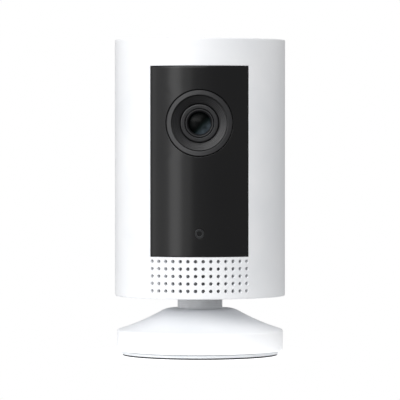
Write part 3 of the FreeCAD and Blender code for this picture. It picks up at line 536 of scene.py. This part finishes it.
# fibreglass board with a green mask: tracks raise the mask in straight runs, and it shines
def boardMaterial():
    material, tree, surface, place = newMaterial("solder-masked board", {
        "IOR": 1.55, "Coat Weight": 0.3, "Coat Roughness": 0.2})
    turned = addNode(tree, "ShaderNodeMapping", {"Rotation": (math.pi / 2, 0, 0)},
                     {"Vector": place})
    tracks = addNode(tree, "ShaderNodeTexBrick", {
        "Scale": perMm(4), "Mortar Size": 0.035, "Mortar Smooth": 0.2, "Brick Width": 0.9,
        "Row Height": 0.2}, {"Vector": turned.outputs["Vector"]})
    dots = addNode(tree, "ShaderNodeTexVoronoi", {"Scale": perMm(1.6)}, {"Vector": place})
    pads = addNode(tree, "ShaderNodeMath", {1: 0.16}, {0: dots.outputs["Distance"]},
                   operation="LESS_THAN")
    raised = combine(tree, "MAXIMUM", tracks.outputs["Fac"], pads.outputs["Value"])
    tint(tree, surface, raised, "#0b3a22", "#2c7a4b", 0.1, 0.9)
    rough(tree, surface, raised, 0.3, 0.42)
    bump(tree, surface, raised, 0.04, 0.6)
    return material


# acetal, turned on a lathe: a milky white, with a fine ring every half millimetre of height
def neckMaterial():
    material, tree, surface, place = newMaterial("turned white acetal", {"IOR": 1.48})
    rings = waves(tree, place, 0.5, {"Distortion": 0.3, "Detail": 1.0}, bands_direction="Z")
    tint(tree, surface, rings, "#eff0f2", "#f6f7f8", 0.2, 0.8)
    rough(tree, surface, rings, 0.38, 0.5)
    bump(tree, surface, rings, 0.02, 0.3)
    return material


# woven polyester cloth behind the sound holes: pale grey, a thread each way every 0.35 mm
def clothMaterial():
    material, tree, surface, place = newMaterial("woven dust cloth", {
        "IOR": 1.45, "Sheen Weight": 0.3})
    upright = waves(tree, place, 0.35, bands_direction="X")
    level = waves(tree, place, 0.35, bands_direction="Z")
    weave = combine(tree, "MULTIPLY", upright, level)
    tint(tree, surface, weave, "#8f9092", "#cdced0", 0.05, 0.6)
    rough(tree, surface, weave, 0.8, 0.9)
    bump(tree, surface, weave, 0.06, 0.6)
    return material


made = {name: mouldedMaterial(name, spec) for name, spec in moulded.items()}
made.update({name: metalMaterial(name, spec) for name, spec in metals.items()})
made.update(anodised=anodisedMaterial(), window=windowMaterial(), lens=lensMaterial(),
            filter=filterMaterial(), board=boardMaterial(), cloth=clothMaterial(),
            neck=neckMaterial())
print("materials made:", len(made))

finishes = {
    "white_shell": "moulded white ABS", "neck_acetal": "neck", "plate_plastic": "moulded grey ABS",
    "foot_rubber": "pressed silicone rubber", "zinc_steel": "zinc-plated steel",
    "nylon_washer": "punched nylon", "window_black": "window",
    "bezel_black": "etched black polycarbonate",
    "light_pipe": "polished smoky acrylic", "circuit_board": "board", "chip_epoxy": "moulded epoxy",
    "soft_foam": "cut urethane foam", "barrel_metal": "anodised", "lens_glass": "lens",
    "inner_black": "moulded black polymer", "filter_glass": "filter",
    "copper_coil": "wound copper wire",
    "heat_aluminium": "brushed aluminium", "led_package": "moulded lamp package",
    "ribbon_film": "laminated polyimide film", "cone_film": "formed polyester film",
    "magnet_nickel": "nickel-plated magnet", "dust_cloth": "cloth",
    "frame_plastic": "moulded glass-filled nylon",
}
slotOf = {part["node"]: part["material_slot"] for part in frame["record"]["subparts"]}
for node, obj in frame["nodes"].items():
    obj.data.materials.clear()
    obj.data.materials.append(made[finishes[slotOf[node]]])
print("finishes given to", len(frame["nodes"]), "nodes")


# head shell: the numbers of cells say how finely each stretch of its skin is divided
shell = {
    "wall": 1.8, "roof": 2.0, "topRound": 0.25, "footEdge": 0.3, "windowEdge": 0.146,
    "holeEdge": 0.07, "holeLead": 0.05, "holeRadius": 0.475, "holeColumns": 14, "holeLines": 5,
    "holeTurn": 5.09, "holeTop": 26.04, "holeStep": 1.96, "windowLow": 27.2, "windowHigh": 77.75,
    "sideTurn": 60, "jackHalf": (4.1, 1.7), "jackRound": 0.8, "jackEdge": 0.2,
    "buttonRadius": 1.9, "buttonEdge": 0.15, "rearTurn": 14, "buttonReach": 2.8,
    "aboveJack": 2.2, "aboveWindow": 0.3, "plainRows": (80.0, 82.0, 83.8), "ceilingFrom": 82.0,
    "roofShares": (0.01, 0.06, 0.2, 0.4, 0.6, 0.8, 0.93, 1.0),
}
cells = {"hole": 6, "left": 23, "right": 55, "rear": 16, "farSide": 32, "opening": 8, "roll": 6}


# u is the arc length round the head from the front, and v runs up the side, over the top edge and
# in to the middle of the roof; outside, the radius is constant, then r = R - f(1 - cos a), then
# falls to nothing
def shellSkins():
    radius, top, fillet = headRadius, shellHigh[2], shell["topRound"]
    turnEdge = top - fillet
    perDegree = radius * math.pi / 180
    pitch = shell["holeTurn"] * perDegree
    halfFront = pitch * shell["holeColumns"] / 2
    rearMiddle, rearHalf = 180 * perDegree, shell["rearTurn"] * perDegree
    rearStart, rearEnd = rearMiddle - rearHalf, rearMiddle + rearHalf
    left = np.linspace(-90 * perDegree, -halfFront, cells["left"] + 1)[:-1]
    front = np.linspace(-halfFront, halfFront, shell["holeColumns"] * cells["hole"] + 1)
    right = np.linspace(halfFront, rearStart, cells["right"] + 1)[1:-1]
    rear = np.linspace(rearStart, rearEnd, cells["rear"] + 1)
    farSide = np.linspace(rearEnd, 270 * perDegree, cells["farSide"] + 1)[1:-1]
    columns = np.concatenate([left, front, right, rear, farSide])
    firstHole = len(left)
    firstRear = len(left) + len(front) + len(right)

    zoneTop = shell["holeTop"] + shell["holeStep"] / 2
    zoneLow = zoneTop - shell["holeLines"] * shell["holeStep"]
    edge, foot, opening = shell["windowEdge"], shell["footEdge"], cells["opening"]
    lowCut, highCut = shell["windowLow"] - edge, shell["windowHigh"] + edge
    jackRows = np.linspace(lowCut, 2 * socketZ - lowCut, opening + 1)
    reach = shell["buttonReach"]
    buttonRows = np.linspace(buttonZ - reach, buttonZ + reach, opening + 1)
    rollRows = turnEdge + fillet * np.linspace(0, np.pi / 2, cells["roll"] + 1)[1:]
    roofRows = rollRows[-1] + (radius - fillet) * np.array(shell["roofShares"])
    footRows = [shellLow[2] + foot, shellLow[2] + 2 * foot]
    rows = np.concatenate([
        footRows, np.linspace(zoneLow, zoneTop, shell["holeLines"] * cells["hole"] + 1), jackRows,
        [jackRows[-1] + shell["aboveJack"]], buttonRows,
        np.linspace(buttonRows[-1], highCut, opening + 1)[1:], [highCut + shell["aboveWindow"]],
        shell["plainRows"], [turnEdge - fillet, turnEdge], rollRows, roofRows])
    windowRow, windowEnd, buttonRow = (
        int(np.argmin(np.abs(rows - level))) for level in (lowCut, highCut, buttonRows[0]))

    holes = []
    for column in range(shell["holeColumns"]):
        for line in range(shell["holeLines"]):
            i, j = firstHole + column * cells["hole"], len(footRows) + line * cells["hole"]
            middle = ((column - (shell["holeColumns"] - 1) / 2) * pitch,
                      shell["holeTop"] - (shell["holeLines"] - 1 - line) * shell["holeStep"])
            holes.append({"block": (i, i + cells["hole"], j, j + cells["hole"]),
                          "middle": middle, "half": (shell["holeRadius"],) * 2,
                          "corner": shell["holeRadius"], "edge": shell["holeEdge"],
                          "lead": shell["holeLead"]})
    holes.append({"block": (firstRear, firstRear + cells["rear"], windowRow, windowRow + opening),
                  "middle": (rearMiddle, socketZ), "half": shell["jackHalf"],
                  "corner": shell["jackRound"], "edge": shell["jackEdge"], "rings": 2})
    firstButton = firstRear + (cells["rear"] - opening) // 2
    holes.append({"block": (firstButton, firstButton + opening, buttonRow, buttonRow + opening),
                  "middle": (rearMiddle, buttonZ), "half": (shell["buttonRadius"],) * 2,
                  "corner": shell["buttonRadius"], "edge": shell["buttonEdge"], "rings": 2})
    cut = (firstHole + 1, firstHole + len(front) - 2, windowRow, windowEnd)
    points, faces, edges = gridSkin(columns, rows, cut, holes, wraps=True)
    u, v = points[:, 0], points[:, 1]
    edges[edges == 0] = edge
    edges[v < shellLow[2] + 1.5 * foot] = foot

    angle = u / radius
    lean = np.clip((v - turnEdge) / fillet, 0, np.pi / 2)
    roofRun = np.clip(v - turnEdge - fillet * np.pi / 2, 0, None)
    outR = radius - fillet * (1 - np.cos(lean)) - roofRun
    outZ = np.where(v < turnEdge, v, turnEdge + fillet * np.sin(lean))
    outer = np.stack([outR * np.sin(angle), -outR * np.cos(angle), outZ], -1)

    innerR, ceiling = radius - shell["wall"], top - shell["roof"]
    inR = innerR * (1 - np.clip((v - turnEdge) / (rows[-1] - turnEdge), 0, 1))
    bend = shell["ceilingFrom"]
    inZ = np.where(v < bend, v, np.interp(v, [bend, turnEdge], [bend, ceiling]))
    # the window's sides are flat, so behind them the inner skin opens to keep the same x
    sideAngle, limit = (halfFront - pitch / cells["hole"]) / radius, math.radians(shell["sideTurn"])
    opened = math.asin(radius * math.sin(sideAngle) / innerR) - sideAngle
    beside = np.clip((limit - np.abs(angle)) / (limit - sideAngle), 0, 1)
    slack = 0.01
    plain = (np.abs(angle) < sideAngle - slack / 2) | (v < lowCut - slack) | (v > highCut + slack)
    inAngle = angle + np.sign(angle) * opened * np.where(plain, 0, beside)
    inner = np.stack([inR * np.sin(inAngle), -inR * np.cos(inAngle), inZ], -1)
    return outer, inner, faces, edges


outer, inner, faces, edges = shellSkins()
# the last row of points all lie at one pole, so its quads close to triangles on a single point
atPole = np.hypot(outer[:, 0], outer[:, 1]) < 1e-6
faces = np.where(atPole[faces], int(np.argmax(atPole)), faces)
shellPiece = buildPiece("head_shell", [rolledSolid(outer, inner, faces, edges)],
                        "head", ["body_shell"], "white_shell")
print("head shell:", len(shellPiece.data.polygons), "faces")


# front window: a curved plug flush with the shell, and the flange hidden behind the shell
window = {
    "half": 12.8, "low": 27.4, "high": 77.55, "face": 22.97, "back": 21.15, "flangeBack": 20.2,
    "edge": 0.12, "flangeEdge": 0.05, "margin": 0.3, "eyeRadius": 8.95, "eyeEdge": 0.06,
    "eyeSide": 10.5, "eyeCells": 24, "lightRadius": 1.25, "lightEdge": 0.06, "lightCells": 6,
    "betweenCells": 8,
}


# u is x and v is z: y = -sqrt(R * R - x * x) at the front and the same with a smaller R at the
# back, so that both round openings run straight in
def curvedPanel(half, low, high, face, back, edge, eyeEdge, lightEdge):
    margin, eyeSide, eyeCells = window["margin"], window["eyeSide"], window["eyeCells"]
    lightCells = window["lightCells"]
    lightSide = lightCells * eyeSide / eyeCells
    sideways = np.linspace(-eyeSide, eyeSide, eyeCells + 1)
    lightTop, eyeFoot = statusZ + lightSide, lensZ - eyeSide
    columns = np.concatenate([[-half, -half + margin], sideways, [half - margin, half]])
    rows = np.concatenate([
        [low, low + margin], np.linspace(statusZ - lightSide, lightTop, lightCells + 1),
        np.linspace(lightTop, eyeFoot, window["betweenCells"] + 1)[1:-1],
        np.linspace(eyeFoot, lensZ + eyeSide, eyeCells + 1), [high - margin, high]])
    # both openings start two columns or rows in, and the light's is in the middle of the eye's
    # columns
    first, eyeRow = 2, int(np.argmin(np.abs(rows - eyeFoot)))
    lightColumn = first + (eyeCells - lightCells) // 2
    blocks = ((first, first + eyeCells, eyeRow, eyeRow + eyeCells),
              (lightColumn, lightColumn + lightCells, first, first + lightCells))
    holes = [{"block": block, "middle": (0, z), "half": (radius,) * 2, "corner": radius,
              "edge": holeEdge, "rings": 2}
             for block, z, radius, holeEdge in zip(
                 blocks, (lensZ, statusZ), (window["eyeRadius"], window["lightRadius"]),
                 (eyeEdge, lightEdge))]
    points, faces, edges = gridSkin(columns, rows, None, holes)
    edges[edges == 0] = edge
    x, z = points[:, 0], points[:, 1]
    front = np.stack([x, -np.sqrt(face ** 2 - x ** 2), z], -1)
    rear = np.stack([x, -np.sqrt(back ** 2 - x ** 2), z], -1)
    return rolledSolid(front, rear, faces, edges, 4)


plug, flange = window["edge"], window["flangeEdge"]
buildPiece("window_panel", [
    curvedPanel(window["half"] - plug, window["low"] + plug, window["high"] - plug,
                window["face"], window["back"], plug, window["eyeEdge"], window["lightEdge"]),
    curvedPanel(windowHigh[0] - flange, windowLow[2] + flange, windowHigh[2] - flange,
                window["back"], window["flangeBack"], flange, flange, flange)],
    "head", ["front_window"], "window_black")
print("window done")


# bezel, barrel, retaining ring and glass are all turned about the line of sight
bezel = {
    "face": 22.93, "outer": 8.7, "rimInner": 7.45, "edge": 0.16, "edgeSteps": 4, "flatFrom": 1.4,
    "lipY": -21.0, "throat": 5.25, "throatY": -18.5, "collarFront": -17.2, "collarBack": -16.0,
    "steps": 5, "grooveIn": 7.22, "grooveY": -20.35,
    "treadShares": (0.0, 0.12, 0.85, 1.0), "riseShares": (0.0, 0.30, 0.55, 1.0),
}


# the rim's front follows the head's curve: its y is -sqrt(R * R - (r sin a) ^ 2) with the edges
# rolled off; a groove parts it from the funnel, which is a stair of small rings that narrows evenly
# to the throat
def bezelSurface(around=160):
    t = np.linspace(0, np.pi / 2, bezel["edgeSteps"] + 1)
    edge, rim, lip = bezel["edge"], bezel["outer"], bezel["rimInner"]
    inset, sink = edge * (1 - np.sin(t)), edge * (1 - np.cos(t))
    flat = edge * bezel["flatFrom"]
    face = np.vstack([np.stack([rim - inset, sink], -1)[::-1], [(rim - flat, 0), (lip + flat, 0)],
                      np.stack([lip + inset, sink], -1)])
    groove = np.array([(lip, bezel["grooveY"]), (bezel["grooveIn"], bezel["grooveY"])])
    share = np.linspace(0, 1, bezel["steps"] + 1)
    r = bezel["grooveIn"] + share * (bezel["throat"] - bezel["grooveIn"])
    y = bezel["lipY"] + share * (bezel["throatY"] - bezel["lipY"])
    tread = (r[:-1] - r[1:])[:, None] * np.array(bezel["treadShares"])
    rise = (y[1:] - y[:-1])[:, None] * np.array(bezel["riseShares"])
    stair = np.stack([(r[:-1, None] - tread).ravel(), (y[:-1, None] + rise).ravel()], -1)
    back = np.array([(bezel["throat"], bezel["collarBack"]), (bezelHigh[0], bezel["collarBack"]),
                     (bezelHigh[0], bezel["collarFront"]), (rim, bezel["collarFront"])])
    angle = np.linspace(0, 2 * np.pi, around, endpoint=False)
    faceR = face[:, 0, None] + 0 * angle
    faceY = face[:, 1, None] - np.sqrt(bezel["face"] ** 2 - (faceR * np.sin(angle)) ** 2)
    fixed = np.vstack([groove, stair, back])
    radius = np.vstack([faceR, fixed[:, 0, None] + 0 * angle])
    depth = np.vstack([faceY, fixed[:, 1, None] + 0 * angle])
    rings = np.stack([radius * np.sin(angle), depth, lensZ + radius * np.cos(angle)], -1)
    return skinRings(rings, closed=True)


buildPiece("lens_bezel_ring", [bezelSurface()], "head", ["lens_bezel"], "bezel_black")

barrel = {
    "pocket": 3.9, "pocketY": -16.0, "pocketRound": 0.14, "tip": 5.1, "tipRound": 0.32, "bore": 2.6,
    "thread": 6.0, "threadY": -14.0, "pitch": 0.5, "cut": 0.22, "runOut": 0.3, "rearCut": 0.5,
    "ridgeShares": (0.0, 0.3, 0.5, 0.8), "ridgeCuts": (1.0, 0.0, 0.0, 1.0),
}


# the thread is a row of equal ridges: each is a triangle with its point cut flat
def barrelOutline():
    front, rear = barrelLow[1], barrelHigh[1]
    bore, thread, threadY = barrel["bore"], barrel["thread"], barrel["threadY"]
    root, runOut = thread - barrel["cut"], barrel["runOut"]
    count = int((rear - threadY - 2 * runOut) / barrel["pitch"])
    turns = np.arange(count)[:, None] + np.array(barrel["ridgeShares"])
    y = threadY + runOut + barrel["pitch"] * turns
    r = thread - barrel["cut"] * np.array(barrel["ridgeCuts"]) + 0 * y
    ridges = np.stack([r.ravel(), y.ravel()], -1)
    lead = rounded([(bore, barrel["pocketY"]), (barrel["pocket"], barrel["pocketY"]),
                    (barrel["pocket"], front), (barrel["tip"], front), (barrel["tip"], threadY),
                    (root, threadY)],
                   [0, 0, barrel["pocketRound"], barrel["tipRound"], 0, 0], closed=False)
    tail = np.array([(root, rear - runOut), (thread - barrel["rearCut"], rear), (bore, rear)])
    return np.vstack([lead, ridges, tail])


onLens, aroundLens = (0, 0, lensZ), 144
buildPiece("lens_barrel_turned", [lathe(barrelOutline(), aroundLens, "Y", onLens)],
           "head", ["lens_barrel"], "barrel_metal")

lockRing = {"bore": 3.0, "mouth": 3.42, "chamfer": 0.42, "gap": 0.1}
ringRim = ringHigh[0] - lockRing["gap"]
ringOutline = rounded([
    (ringRim, ringLow[1]), (ringRim, ringHigh[1]), (lockRing["bore"], ringHigh[1]),
    (lockRing["bore"], ringLow[1] + lockRing["chamfer"]), (lockRing["mouth"], ringLow[1])],
    [0.1, 0.05, 0.03, 0.05, 0.12], 4)
buildPiece("lens_lock_ring", [lathe(ringOutline, aroundLens, "Y", onLens)],
           "head", ["lens_retaining_ring"], "barrel_metal")

# the front element is a spherical cap on a plain edge: y = apex + R - sqrt(R * R - r * r)
glass = {"curve": 5.2, "capFrom": 0.08, "capTo": 3.0, "step": 0.02, "edge": 0.1}
capR = np.linspace(glass["capFrom"], glass["capTo"], 14)
capY = lensLow[1] + glass["curve"] - np.sqrt(glass["curve"] ** 2 - capR ** 2)
seatY = capY[-1] + glass["step"] / 2
glassOutline = np.vstack([
    np.stack([capR, capY], -1),
    rounded([(glass["capTo"] + glass["step"], seatY), (lensHigh[0], seatY),
             (lensHigh[0], lensHigh[1]), (glass["edge"], lensHigh[1])],
            [0, glass["edge"], glass["edge"], 0], 4, closed=False)])
buildPiece("front_glass", [lathe(glassOutline, 128, "Y", onLens, closed=False)],
           "head", ["front_lens"], "lens_glass")
print("lens done")


# light ring, with a foot that holds it behind the window
light = {"outer": 1.2, "inner": 0.72, "foot": 2.2, "footFront": -20.05, "filmFront": -22.7,
         "film": 0.15, "filmGap": 0.02, "around": 64}
lightOutline = rounded([
    (light["inner"], statusLow[1]), (light["outer"], statusLow[1]),
    (light["outer"], light["footFront"]), (light["foot"], light["footFront"]),
    (light["foot"], statusHigh[1]), (light["inner"], statusHigh[1])],
    [0.08, 0.1, 0.1, 0.15, 0.1, 0.05], 4)
buildPiece("light_ring", [lathe(lightOutline, light["around"], "Y", (0, 0, statusZ))],
           "head", ["status_light_ring"], "light_pipe")
# a thin black film stands across the ring's bore, over the microphone's port
poleGap = 0.1
filmRim, filmFront = light["inner"] - light["filmGap"], light["filmFront"]
filmBack = filmFront + light["film"]
filmOutline = np.array([(poleGap, filmFront), (filmRim, filmFront), (filmRim, filmBack),
                        (poleGap, filmBack)])
buildPiece("microphone_film", [lathe(filmOutline, 48, "Y", (0, 0, statusZ), closed=False)],
           "head", None, "window_black")

button = {"nub": 1.0, "stem": 1.7, "lip": 2.6, "lipFront": 19.6, "lipBack": 20.4, "dish": 0.25,
          "dishR": 1.35, "flatR": 1.4, "around": 64}
# the pressed face is dished: its depth falls off as the square of the radius
dishR = np.linspace(button["dishR"], poleGap, 8)
dishY = buttonHigh[1] - button["dish"] * (1 - (dishR / button["dishR"]) ** 2)
buttonOutline = np.vstack([
    [(poleGap, buttonLow[1])],
    rounded([(2 * poleGap, buttonLow[1]), (button["nub"], buttonLow[1]),
             (button["nub"], button["lipFront"]), (button["lip"], button["lipFront"]),
             (button["lip"], button["lipBack"]), (button["stem"], button["lipBack"]),
             (button["stem"], buttonHigh[1]), (button["flatR"], buttonHigh[1])],
            [0, 0.2, 0.1, 0.15, 0.15, 0.1, 0.2, 0], 4, closed=False),
    np.stack([dishR, dishY], -1)])
buildPiece("rear_button",
           [lathe(buttonOutline, button["around"], "Y", (0, 0, buttonZ), closed=False)],
           "reset_button", ["reset_button"], "white_shell")

socket = {"wall": 0.35, "depth": 17.9, "slope": 0.6, "lip": 0.1, "roll": 0.08,
          "tongueHalf": (1.6, 0.3), "tongueBack": 17.7, "tongueFront": 1.0, "tongueRound": 0.12}


# one closed loop in x and z: a rectangle with arcs at its corners whose lower side is narrower
def socketLoop(half, corner, slope, y, around=48):
    angle = np.linspace(0, 2 * np.pi, around, endpoint=False)
    toward = np.stack([np.cos(angle), np.sin(angle)], -1)
    toward = toward / np.abs(toward).max(1, keepdims=True)
    rim = roundedRim(toward, np.ones(2), half, corner)
    x = rim[:, 0] * (1 - slope / half[0] * np.clip(-rim[:, 1] / half[1], 0, 1))
    return np.stack([x, np.full(around, y), socketZ + rim[:, 1]], -1)


outHalf = (socketHigh - socketLow)[[0, 2]] / 2
inHalf = outHalf - socket["wall"]
roll, mouth, lipBack = socket["roll"], socketHigh[1], socketHigh[1] - socket["lip"]
canRings = np.array([
    socketLoop(half, corner, socket["slope"], y) for half, corner, y in (
        (outHalf, 0.5, socketLow[1]), (outHalf, 0.5, lipBack), (outHalf - roll, 0.45, mouth),
        (inHalf + roll, 0.3, mouth), (inHalf, 0.25, lipBack), (inHalf, 0.25, socket["depth"]))])
tip = mouth - socket["tongueFront"]
tongueRings = np.array([
    socketLoop(np.array(socket["tongueHalf"]) - trim, socket["tongueRound"], 0, y)
    for trim, y in ((0, socket["tongueBack"]), (0, tip - socket["lip"]), (roll, tip))])
buildPiece("power_socket", [skinRings(canRings), skinRings(tongueRings)],
           "head", ["usb_socket"], "zinc_steel")
print("rear parts done")


stand = {
    "tableR": 8.6, "tableZ": 12.6, "shoulderR": 10.6, "shoulderZ": 11.85, "shoulderRound": 6.66,
    "footR": 21.97, "footZ": 6.98, "slopeRound": 59.0, "rimTop": 6.31, "rimRound": 0.7,
    "edge": 0.22, "wall": 1.8, "bore": 4.06, "bossR": 7.0, "bossLow": 8.55, "bossTop": 10.75,
    "roofR": 10.2, "roofZ": 9.6, "ledgeR": 18.9, "ledgeWall": 1.7, "ledgeTop": 2.2,
    "ledgeGap": 0.02, "ledgeEdge": 0.08, "ledgeTurn": 26.0, "ledges": 3, "step": 0.1,
}


# the side is upright, then three arcs run up the slope: a tight one over the rim, a long hollow
# one, and a soft one over the shoulder, each starting about where the last one was heading
def standOutline():
    radius, low, step = baseHigh[0], baseLow[2], stand["step"]
    inside = radius - stand["wall"]
    rimTop, footPoint = (radius, stand["rimTop"]), (stand["footR"], stand["footZ"])
    shoulderPoint = (stand["shoulderR"], stand["shoulderZ"])
    tablePoint = (stand["tableR"], stand["tableZ"])
    lowCorner = rounded([(inside, low), (radius, low), rimTop], [0, stand["edge"], 0], 5,
                        closed=False)
    rim = arcBetween(rimTop, footPoint, stand["rimRound"], 8)
    slope = arcBetween(footPoint, shoulderPoint, -stand["slopeRound"], 30)
    shoulder = arcBetween(shoulderPoint, tablePoint, stand["shoulderRound"])
    under = rounded([
        (stand["tableR"] - step, stand["tableZ"]), (stand["bore"], stand["tableZ"]),
        (stand["bore"], stand["bossLow"]), (stand["bossR"], stand["bossLow"]),
        (stand["bossR"], stand["bossTop"]), (stand["roofR"], stand["roofZ"]),
        (inside, stand["footZ"] - stand["wall"]), (inside, low)],
        [0, 0.2, 0.1, 0.2, 0.3, 0.4, 0.4, 0], 4, closed=False)
    return np.vstack([lowCorner[1:-1], rim, slope[1:], shoulder[1:], under[1:-1],
                      [(inside, low + step), (inside + step, low)]])


# a block bent round the axis: four corners of (radius, z) carried through an angle, closed at both
# ends
def bentBlock(inR, outR, low, high, middle, turn, steps=10):
    share = np.linspace(-0.5, 0.5, steps + 1)[:, None]
    angle = math.radians(middle) + np.radians(turn) * share
    corners = rounded([(inR, low), (outR, low), (outR, high), (inR, high)], stand["ledgeEdge"], 2)
    r, z = corners[:, 0], corners[:, 1]
    rings = np.stack([r * np.cos(angle), r * np.sin(angle), z + 0 * angle], -1)
    return skinRings(rings)


ledges = [bentBlock(stand["ledgeR"], baseHigh[0] - stand["ledgeWall"],
                    baseLow[2] + stand["ledgeGap"], stand["ledgeTop"],
                    90 + 360 / stand["ledges"] * n, stand["ledgeTurn"])
          for n in range(stand["ledges"])]
buildPiece("stand_cone", [lathe(standOutline(), 256), *ledges],
           "base", ["base_shell"], "white_shell")
print("stand done")


# the floor's sizes are in metres, as the lamps' are
room = {"floorColour": "#f7f7f7", "floorRadius": 0.036, "floorInner": 0.02, "floorDrop": 0.02 * mm,
        "floorAround": 64, "floorGlow": 0.5, "skyFill": 0.3}
# each lamp is width, height, distance, azimuth, elevation and power
lamps = {
    "key": (0.30, 0.9, 1.1, -33, 4, 1.0), "wide": (1.05, 0.9, 1.1, -36, 4, 1.5),
    "left": (0.6, 0.9, 1.2, -76, 8, 2.1), "bank": (1.2, 0.4, 1.2, -22, 22, 6.5),
    "over": (1.2, 0.4, 1.2, -22, 34, 2.0), "high": (1.2, 0.5, 1.2, -10, 48, 3.2),
    "edge": (0.6, 0.9, 1.2, -108, 12, 1.2), "rear": (0.9, 1.0, 1.3, 104, 25, 5.6),
    "top": (1.4, 1.4, 1.0, 0, 88, 2.0),
}


# matt white acrylic with an even glow of its own, so that it shows no shadow and no horizon
def floorMaterial():
    material, tree, surface, place = newMaterial("matt white acrylic table", {
        "Base Color": linear(room["floorColour"]), "Roughness": 0.9, "IOR": 1.4,
        "Emission Color": (1, 1, 1, 1), "Emission Strength": room["floorGlow"]})
    bump(tree, surface, noise(tree, place, 2, 3.0), 0.01, 0.05)
    return material


turn = np.linspace(0, 2 * np.pi, room["floorAround"], endpoint=False)
discRings = np.stack([
    np.stack([r * np.sin(turn), r * np.cos(turn), 0 * turn - room["floorDrop"]], -1)
    for r in (room["floorRadius"], room["floorInner"])])
floorPoints, floorFaces = skinRings(discRings)
floorFaces = floorFaces[np.all(floorFaces != len(floorPoints) - 2, axis=1)]
floorCorners = [face[:3] if face[2] == face[3] else face for face in floorFaces.tolist()]
floorMesh = bpy.data.meshes.new("floor")
floorMesh.from_pydata(floorPoints.tolist(), [], floorCorners)
floorMesh.materials.append(floorMaterial())
floor = bpy.data.objects.new("floor", floorMesh)
bpy.context.scene.collection.objects.link(floor)

middle = np.array([0, 0, (cadLow[2] + cadHigh[2]) / 2])
for name, (width, height, distance, turned, raised, power) in lamps.items():
    azimuth, elevation = math.radians(turned), math.radians(raised)
    away = np.array([math.sin(azimuth) * math.cos(elevation),
                     -math.cos(azimuth) * math.cos(elevation), math.sin(elevation)])
    lamp = bpy.data.lights.new(name, "AREA")
    lamp.shape = "RECTANGLE"
    lamp.size, lamp.size_y = width, height
    lamp.energy = power
    holder = bpy.data.objects.new(name, lamp)
    bpy.context.scene.collection.objects.link(holder)
    holder.location = middle + away * distance
    holder.rotation_euler = Vector(away.tolist()).to_track_quat("Z", "Y").to_euler()

# the lamps and a dim sky light the object; a ray that goes straight to the sky sees plain white
world = bpy.data.worlds.new("studio")
bpy.context.scene.world = world
world.use_nodes = True
world.node_tree.nodes.clear()
direct = addNode(world.node_tree, "ShaderNodeLightPath").outputs["Is Camera Ray"]
level = addNode(world.node_tree, "ShaderNodeMix", {"A": room["skyFill"], "B": 1.0},
                {"Factor": direct})
sky = addNode(world.node_tree, "ShaderNodeBackground", {"Color": (1, 1, 1, 1)},
              {"Strength": level.outputs["Result"]})
addNode(world.node_tree, "ShaderNodeOutputWorld", None, {"Surface": sky.outputs["Background"]})
bpy.context.scene.view_settings.view_transform = "Standard"

view = {"distance": 0.866, "height": 0.060, "down": 1.2, "side": 0.4, "lens": 288}
cameraData = bpy.data.cameras.new("camera")
cameraData.lens = view["lens"]
camera = bpy.data.objects.new("camera", cameraData)
bpy.context.scene.collection.objects.link(camera)
side = math.radians(view["side"])
camera.location = (view["distance"] * math.sin(side), -view["distance"] * math.cos(side),
                   view["height"])
camera.rotation_euler = (math.radians(90 - view["down"]), 0, side)
bpy.context.scene.camera = camera
print("room, lamps and camera done")
